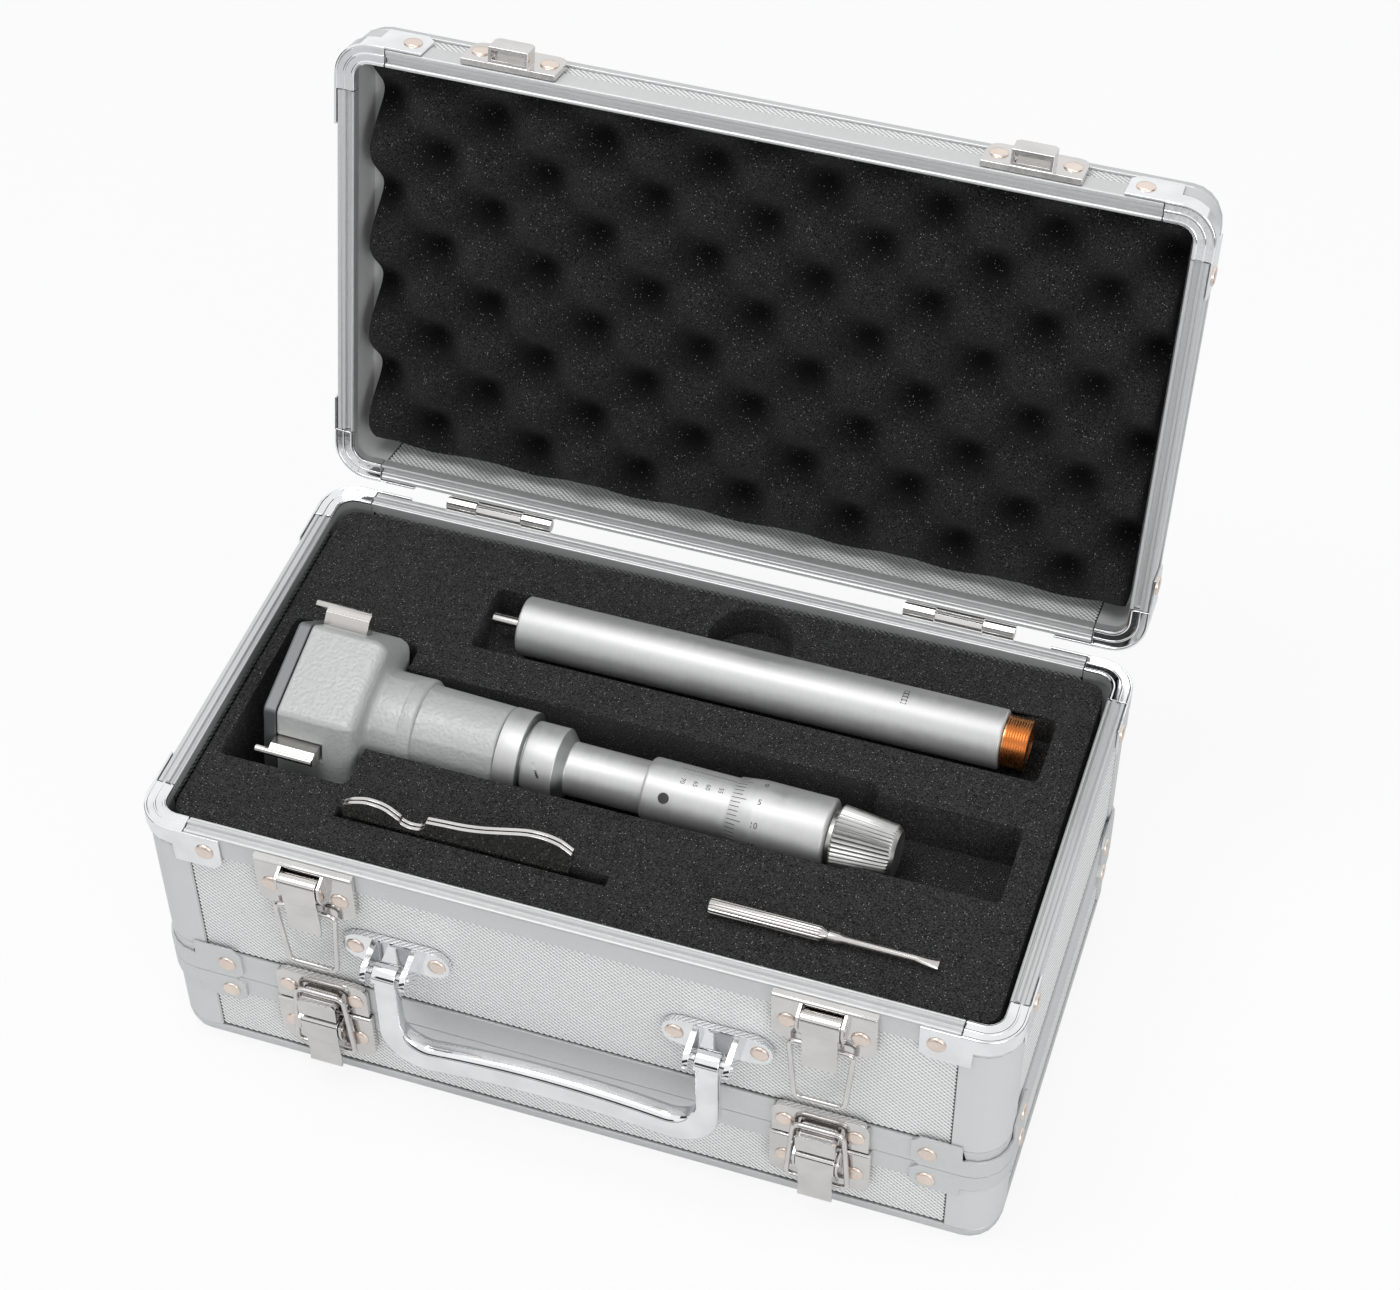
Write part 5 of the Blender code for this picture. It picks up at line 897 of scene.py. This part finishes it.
def micrometer():
    """The turned parts get fine steps, a real knurl, engraved lines and plain numbers."""
    for name, look, width in (("mic_housing", "enamel", 0.9), ("mic_end_cover", "cover", 0.35)):
        dressed(name, look, width, 3, 28, 34)
    for name in ("mic_anvil_back", "mic_anvil_front", "mic_anvil_bottom"):
        dressed(name, "ground", 0.15, 2)
    neck_end = 47.5
    shoulder = [
        (neck_end - 4.0, 16.6), (neck_end - 3.6, 17.52), (neck_end + 0.9, 17.6), (neck_end + 1.6, 17.0),
        (neck_end + 1.9, 15.6), (neck_end - 4.0, 15.6),
    ]
    ring = lathe(rounded_profile(shoulder, 0.6), 72)
    from_bmesh("mic_neck_shoulder", ring, "enamel", "micrometer", MIC_FRAME, 60)
    barrel_profile = [
        (78.9, 0), (78.9, 15.6), (87.1, 15.6), (87.1, 12.1), (87.9, 12.1), (87.9, 13.0),
        (99.2, 13.0), (102.4, 9.3), (130.1, 9.3), (130.1, 10.6), (131.0, 11.3), (183.0, 11.3), (183.0, 0),
    ]
    shape = lathe(rounded_profile(barrel_profile, 0.35), 96)
    barrel = stand_in("mic_barrel", shape, ("satin", "polished"), MIC_FRAME, 25)
    inverse = MIC_FRAME.inverted()
    for face in barrel.data.polygons:
        along = (inverse @ face.center).x / MM
        if 99.25 < along < 102.3 or 87.0 < along < 88.0:
            face.material_index = 1
    thimble_profile = [
        (160.7, 11.6), (160.7, 11.9), (169.1, 12.9), (193.7, 12.9), (194.5, 12.1), (194.5, 3.3),
        (190.5, 3.3), (190.5, 11.6),
    ]
    shape = lathe(rounded_profile(thimble_profile, 0.3), 96)
    stand_in("mic_thimble", shape, "satin", MIC_FRAME, 25)
    knob()
    screw = rounded_profile([(0.0, 0.0), (0.0, 1.9), (0.35, 1.9), (0.35, 0.0)], 0.1)
    shape = lathe(screw, 24)
    shape.transform(Matrix.Rotation(-math.pi / 2, 4, "Y"))
    turn = math.radians(138)
    place = MIC_FRAME @ Matrix.Translation(round_point(138.4, 11.15, turn))
    place = place @ facing((0, math.cos(turn), math.sin(turn)))
    from_bmesh("mic_lock_screw", shape, "ink", "micrometer", place, 40)
    scale_marks()
    paint("mic_spindle", "ground")


def knob():
    """The ratchet knob with its straight knurl."""
    teeth = 44
    steps = teeth * 4
    shape = bmesh.new()
    rows = (
        (194.8, 0, 0), (194.8, 9.5, 0), (196.3, 9.5, 0), (196.5, 11.0, 0), (197.2, 11.5, 0.6),
        (206.0, 10.6, 0.58), (215.9, 9.5, 0.5), (216.5, 9.1, 0), (216.9, 8.8, 0), (217.8, 8.0, 0),
        (218.0, 7.4, 0), (218.0, 0, 0),
    )
    rings = []
    for along, radius, depth in rows:
        if radius == 0:
            rings.append([shape.verts.new((along * MM, 0, 0))])
            continue
        ring = []
        for step in range(steps):
            turn = TAU * step / steps
            drop = depth * (1, 0.35, 0, 0.35)[step % 4]
            ring.append(shape.verts.new(round_point(along, radius - drop + depth * 0.3, turn)))
        rings.append(ring)
    join_rings(shape, rings, steps)
    stand_in("mic_ratchet_knob", shape, "knurled", MIC_FRAME, 24, "mic_knob_dressed")


def scale_marks():
    """Graduations and plain numbers on the sleeve and the thimble."""
    line = math.radians(70)
    radius = 11.31
    start, pitch = 143.0, 0.9
    marks = [(141.0, 160.6, line - 0.008, line + 0.008, radius, radius)]
    for index in range(20):
        along = start + index * pitch
        reach = 0.34 if index % 5 == 0 else 0.2
        marks.append((along - 0.09, along + 0.09, line + 0.02, line + reach, radius, radius))
        marks.append((along + 0.36, along + 0.54, line - 0.18, line - 0.02, radius, radius))
    strokes("sleeve_scale", marks, "micrometer")
    turn = math.radians(134)
    slot = []
    for step in range(8):
        along = 91.6 + 0.35 * step
        low = turn + 0.05 * step
        slot.append((along, along + 0.9, low, low + 0.05, 13.02, 13.02))
    strokes("collar_slot", slot, "micrometer", "chrome")
    for text, along in (("70", 143.0), ("65", 147.5), ("60", 152.0), ("55", 156.5)):
        label(f"sleeve_number_{text}", text, 2.3, 11.3, line + 0.52, along, "micrometer", 3)
    marks = []
    count = 50
    start, cone_length = 160.9, 8.0
    low = 11.95
    for index in range(count):
        turn = line + TAU * index / count
        share = 0.62 if index % 5 == 0 else 0.42
        end = start + cone_length * share
        marks.append((start, end, turn - 0.009, turn + 0.009, low, low + share))
    strokes("thimble_scale", marks, "thimble")
    for index in range(10):
        turn = line + TAU * index / 10
        label(f"thimble_number_{index * 5}", str(index * 5), 2.9, 12.91, turn, 170.6, "thimble", 0)


def extension():
    profile = [
        (-37.0, 0), (-37.0, 2.3), (-60.0, 2.3), (-60.0, 9.9), (-59.4, 10.5), (113.4, 10.5), (114.0, 9.9),
        (114.0, 6.3), (108.0, 6.3), (108.0, 0),
    ]
    shape = lathe(rounded_profile(profile, 0.4), 96)
    stand_in("extension_tube", shape, "satin", TUBE_FRAME, 25)
    profile = [(108.3, 5.0), (108.3, 6.0), (114.3, 6.0), (114.3, 9.1)]
    for thread in range(9):
        start = 114.7 + thread * 0.9
        profile += [(start, 9.15), (start + 0.45, 8.65)]
    profile += [(122.8, 9.1), (123.0, 8.8), (123.0, 5.0)]
    shape = lathe(profile, 96)
    name = "extension_ring_dressed"
    stand_in("extension_thread_ring", shape, "copper", TUBE_FRAME, 20, name)
    low, high, left = math.radians(77), math.radians(109), 77.8
    edges = [(left + shift, left + shift + 0.3, low, high, 10.52, 10.52) for shift in (0, 1.7)]
    strokes("extension_slot_edges", edges, "extension", "ink", TUBE_FRAME)
    slot = (left + 0.3, left + 1.7, low, high, 10.51, 10.51)
    strokes("extension_slot", [slot], "extension", "wire", TUBE_FRAME)
    profile = rounded_profile([(-71.5, 0), (-71.5, 2.0), (-44.0, 2.0), (-44.0, 0)], 0.3)
    shape = lathe(profile, 32)
    name = "extension_rod_dressed"
    stand_in("extension_push_rod", shape, "ground", TUBE_FRAME, 25, name)


def screwdriver():
    """The small driver with a fluted grip, a neck, a slim shaft and a flared flat tip."""
    flutes = 12
    steps = flutes * 6
    shape = bmesh.new()
    rows = (
        (42.0, 1.9, 1.9, 0), (42.35, 2.45, 2.45, 0.18), (43.0, 2.7, 2.7, 0.3), (79.0, 2.7, 2.7, 0.3),
        (79.8, 2.6, 2.6, 0.12), (81.4, 1.75, 1.75, 0), (82.0, 1.65, 1.65, 0), (82.3, 2.1, 2.1, 0),
        (85.3, 2.0, 2.0, 0), (87.4, 1.35, 1.35, 0), (111.0, 1.3, 1.3, 0), (113.0, 1.5, 0.95, 0),
        (117.9, 2.1, 0.42, 0), (118.7, 2.05, 0.38, 0),
    )
    rings = []
    for along, wide, thick, depth in rows:
        ring = []
        for step in range(steps):
            turn = TAU * step / steps
            groove = depth * (1 - abs(math.sin(turn * flutes / 2))) ** 2
            across = (wide - groove) * MM * math.cos(turn)
            up = (thick - groove) * MM * math.sin(turn)
            ring.append(shape.verts.new((along * MM, across, up)))
        rings.append(ring)
    close_rings(shape, rings)
    place = Matrix.Translation((0, -59.5 * MM, FOAM_TOP + 3.05 * MM))
    stand_in("screwdriver", shape, "ground", place)


def smooth_line(points, steps=5):
    """A smooth curve through given points."""
    found = []
    for index in range(len(points) - 1):
        around = [Vector(points[min(max(index + shift, 0), len(points) - 1)]) for shift in (-1, 0, 1, 2)]
        for step in range(steps):
            t = step / steps
            here = 2 * around[1] + (around[2] - around[0]) * t
            here += (2 * around[0] - 5 * around[1] + 4 * around[2] - around[3]) * t * t
            here += (3 * around[1] - around[0] - 3 * around[2] + around[3]) * t**3
            found.append(tuple(here / 2))
    return found + [tuple(points[-1])]


def wrench():
    """Two thin plates on edge: a hooked head, a narrow neck and a long wavy grip."""
    low = 99.0
    hook = smooth_line([
        (-86.0, 20.2), (-84.0, 21.8), (-81.3, 23.2), (-77.5, 24.3), (-73.2, 24.1), (-70.0, 23.0),
        (-66.8, 20.8),
    ])
    neck = smooth_line([(-65.6, 19.6), (-65.0, 18.3), (-62.6, 17.3), (-59.0, 17.6), (-56.9, 19.2)])
    grip = smooth_line([
        (-56.0, 22.3), (-50.0, 22.8), (-43.0, 23.4), (-35.5, 24.9), (-26.5, 27.6), (-20.5, 29.2),
        (-14.5, 29.5), (-9.0, 28.1), (-4.8, 25.0),
    ])
    outline = hook + neck + grip + [(-4.8, 21.0), (-9.0, 4.0), (-14.0, 0.0), (-80.0, 0.0), (-86.0, 6.0)]
    shape = bmesh.new()
    for near, far in ((0.25, 1.5), (-1.5, -0.25)):
        rings = []
        for offset in (near, far):
            y = (-58.0 + offset) * MM
            rings.append([shape.verts.new((x * MM, y, (low + z) * MM)) for x, z in outline])
        close_rings(shape, rings)
    made = stand_in("wrench", shape, "nickel", None, 35)
    break_edges(made, 0.2, 2, 50)


def camera():
    azimuth, elevation, roll = (math.radians(angle) for angle in (18.898, 47.102, -0.696))
    level = math.cos(elevation)
    back = Vector((math.sin(azimuth) * level, -math.cos(azimuth) * level, math.sin(elevation)))
    right = Vector((math.cos(azimuth), math.sin(azimuth), 0))
    up = back.cross(right)
    across = right * math.cos(roll) + up * math.sin(roll)
    upward = up * math.cos(roll) - right * math.sin(roll)
    data = bpy.data.cameras.new("camera")
    data.sensor_fit = "HORIZONTAL"
    sensor_width, photo_width, focal_length_in_pixels = 36, 1400, 3030.435
    data.sensor_width = sensor_width
    data.lens = focal_length_in_pixels / photo_width * sensor_width
    data.clip_end = 50
    holder = bpy.data.objects.new("camera", data)
    turn = Matrix((across, upward, back)).transposed().to_4x4()
    holder.matrix_world = Matrix.Translation((0.235544, -0.630545, 0.888649)) @ turn
    bpy.context.scene.collection.objects.link(holder)
    bpy.context.scene.camera = holder


def flat_sheet(name, half_x, half_y):
    """A flat rectangle in XY round the origin."""
    mesh = bpy.data.meshes.new(name)
    corners = [(-half_x, -half_y, 0), (half_x, -half_y, 0), (half_x, half_y, 0), (-half_x, half_y, 0)]
    mesh.from_pydata(corners, [], [(0, 1, 2, 3)])
    return mesh


def studio():
    """A pale floor that runs to white, soft lamps and dark cards that only gloss sees."""
    scene = bpy.context.scene
    scene.view_settings.view_transform = "Standard"
    world = bpy.data.worlds.new("studio")
    scene.world = world
    world.use_nodes = True
    tree = world.node_tree
    tree.nodes.clear()
    path = add_node(tree, "LightPath").outputs
    rays = {0: path["Is Camera Ray"], 1: path["Is Glossy Ray"]}
    seen = add_node(tree, "Math", rays, operation="MAXIMUM")
    white = add_node(tree, "Background", {0: (1, 1, 1, 1), 1: 1.0})
    soft = add_node(tree, "Background", {0: (0.97, 0.985, 1, 1), 1: 0.6})
    choose = add_node(tree, "MixShader", {0: seen.outputs[0], 1: soft.outputs[0], 2: white.outputs[0]})
    add_node(tree, "OutputWorld", {0: choose.outputs[0]})

    floor_mesh = flat_sheet("floor", 4.0, 4.0)
    floor = bpy.data.objects.new("floor", floor_mesh)
    floor.location.z = -0.0003
    scene.collection.objects.link(floor)
    look = Look("floor_pale", (0.93, 0.93, 0.93), 0, 0.9)
    look.set("Specular IOR Level", 0.1)
    glow = look.node("Emission", {0: (1, 1, 1, 1), 1: 1.0})
    seen = look.math("MULTIPLY", look.node("LightPath").outputs["Is Camera Ray"], 0.87)
    choose = look.node("MixShader", {0: seen, 1: look.shader.outputs[0], 2: glow.outputs[0]})
    feed(look.tree, look.tree.nodes["Material Output"].inputs[0], choose.outputs[0])
    floor_mesh.materials.append(look.material)

    for name, place, target, size, power in (
        ("key", (-0.25, -0.2, 1.4), (0, 0, 0.1), 0.7, 5.5),
        ("fill", (0.9, -0.9, 0.6), (0, 0, 0.1), 0.8, 3.5),
    ):
        lamp = bpy.data.lights.new(name, "AREA")
        lamp.shape = "DISK"
        lamp.size = size
        lamp.energy = power
        holder = bpy.data.objects.new(name, lamp)
        holder.location = place
        aim = Vector(place) - Vector(target)
        holder.rotation_euler = aim.to_track_quat("Z", "Y").to_euler()
        scene.collection.objects.link(holder)

    dark_cards(scene)


def dark_cards(scene):
    """Dark cards that only gloss sees, so that bright metal keeps its contrast."""
    dark = Look("card_dark", (0.02, 0.02, 0.02), 0, 0.5).material
    aim_point = Vector((0, 0, 0.1))
    for name, place, size, aimed in (
        ("card_left", (-1.2, -0.2, 0.25), (0.5, 0.35), True),
        ("card_front", (0.15, -1.3, 0.2), (0.8, 0.3), True),
        ("card_right", (1.3, 0.2, 0.35), (0.5, 0.35), True),
        ("card_floor_front", (0, -0.33, 0.001), (0.6, 0.05), False),
        ("card_floor_right", (0.42, 0, 0.001), (0.05, 0.4), False),
    ):
        card_mesh = flat_sheet(name, *size)
        card_mesh.materials.append(dark)
        card = bpy.data.objects.new(name, card_mesh)
        card.location = place
        if aimed:
            card.rotation_euler = (aim_point - Vector(place)).to_track_quat("Z", "Y").to_euler()
        for kind in ("camera", "diffuse", "shadow", "transmission"):
            setattr(card, f"visible_{kind}", False)
        scene.collection.objects.link(card)


def build():
    dress_case()
    latches()
    case_rivets()
    egg_crate()
    tray_pad()
    for way, side in SIDES:
        bail_wire(f"upper_latch_bail_{side}", way * LATCH_X, TRAY_TOP, -1)
        bail_wire(f"lower_latch_bail_{side}", way * LATCH_X, LOWER_LATCH_TOP, 1)
    handle_loop()
    micrometer()
    extension()
    screwdriver()
    wrench()
    camera()
    studio()


build()
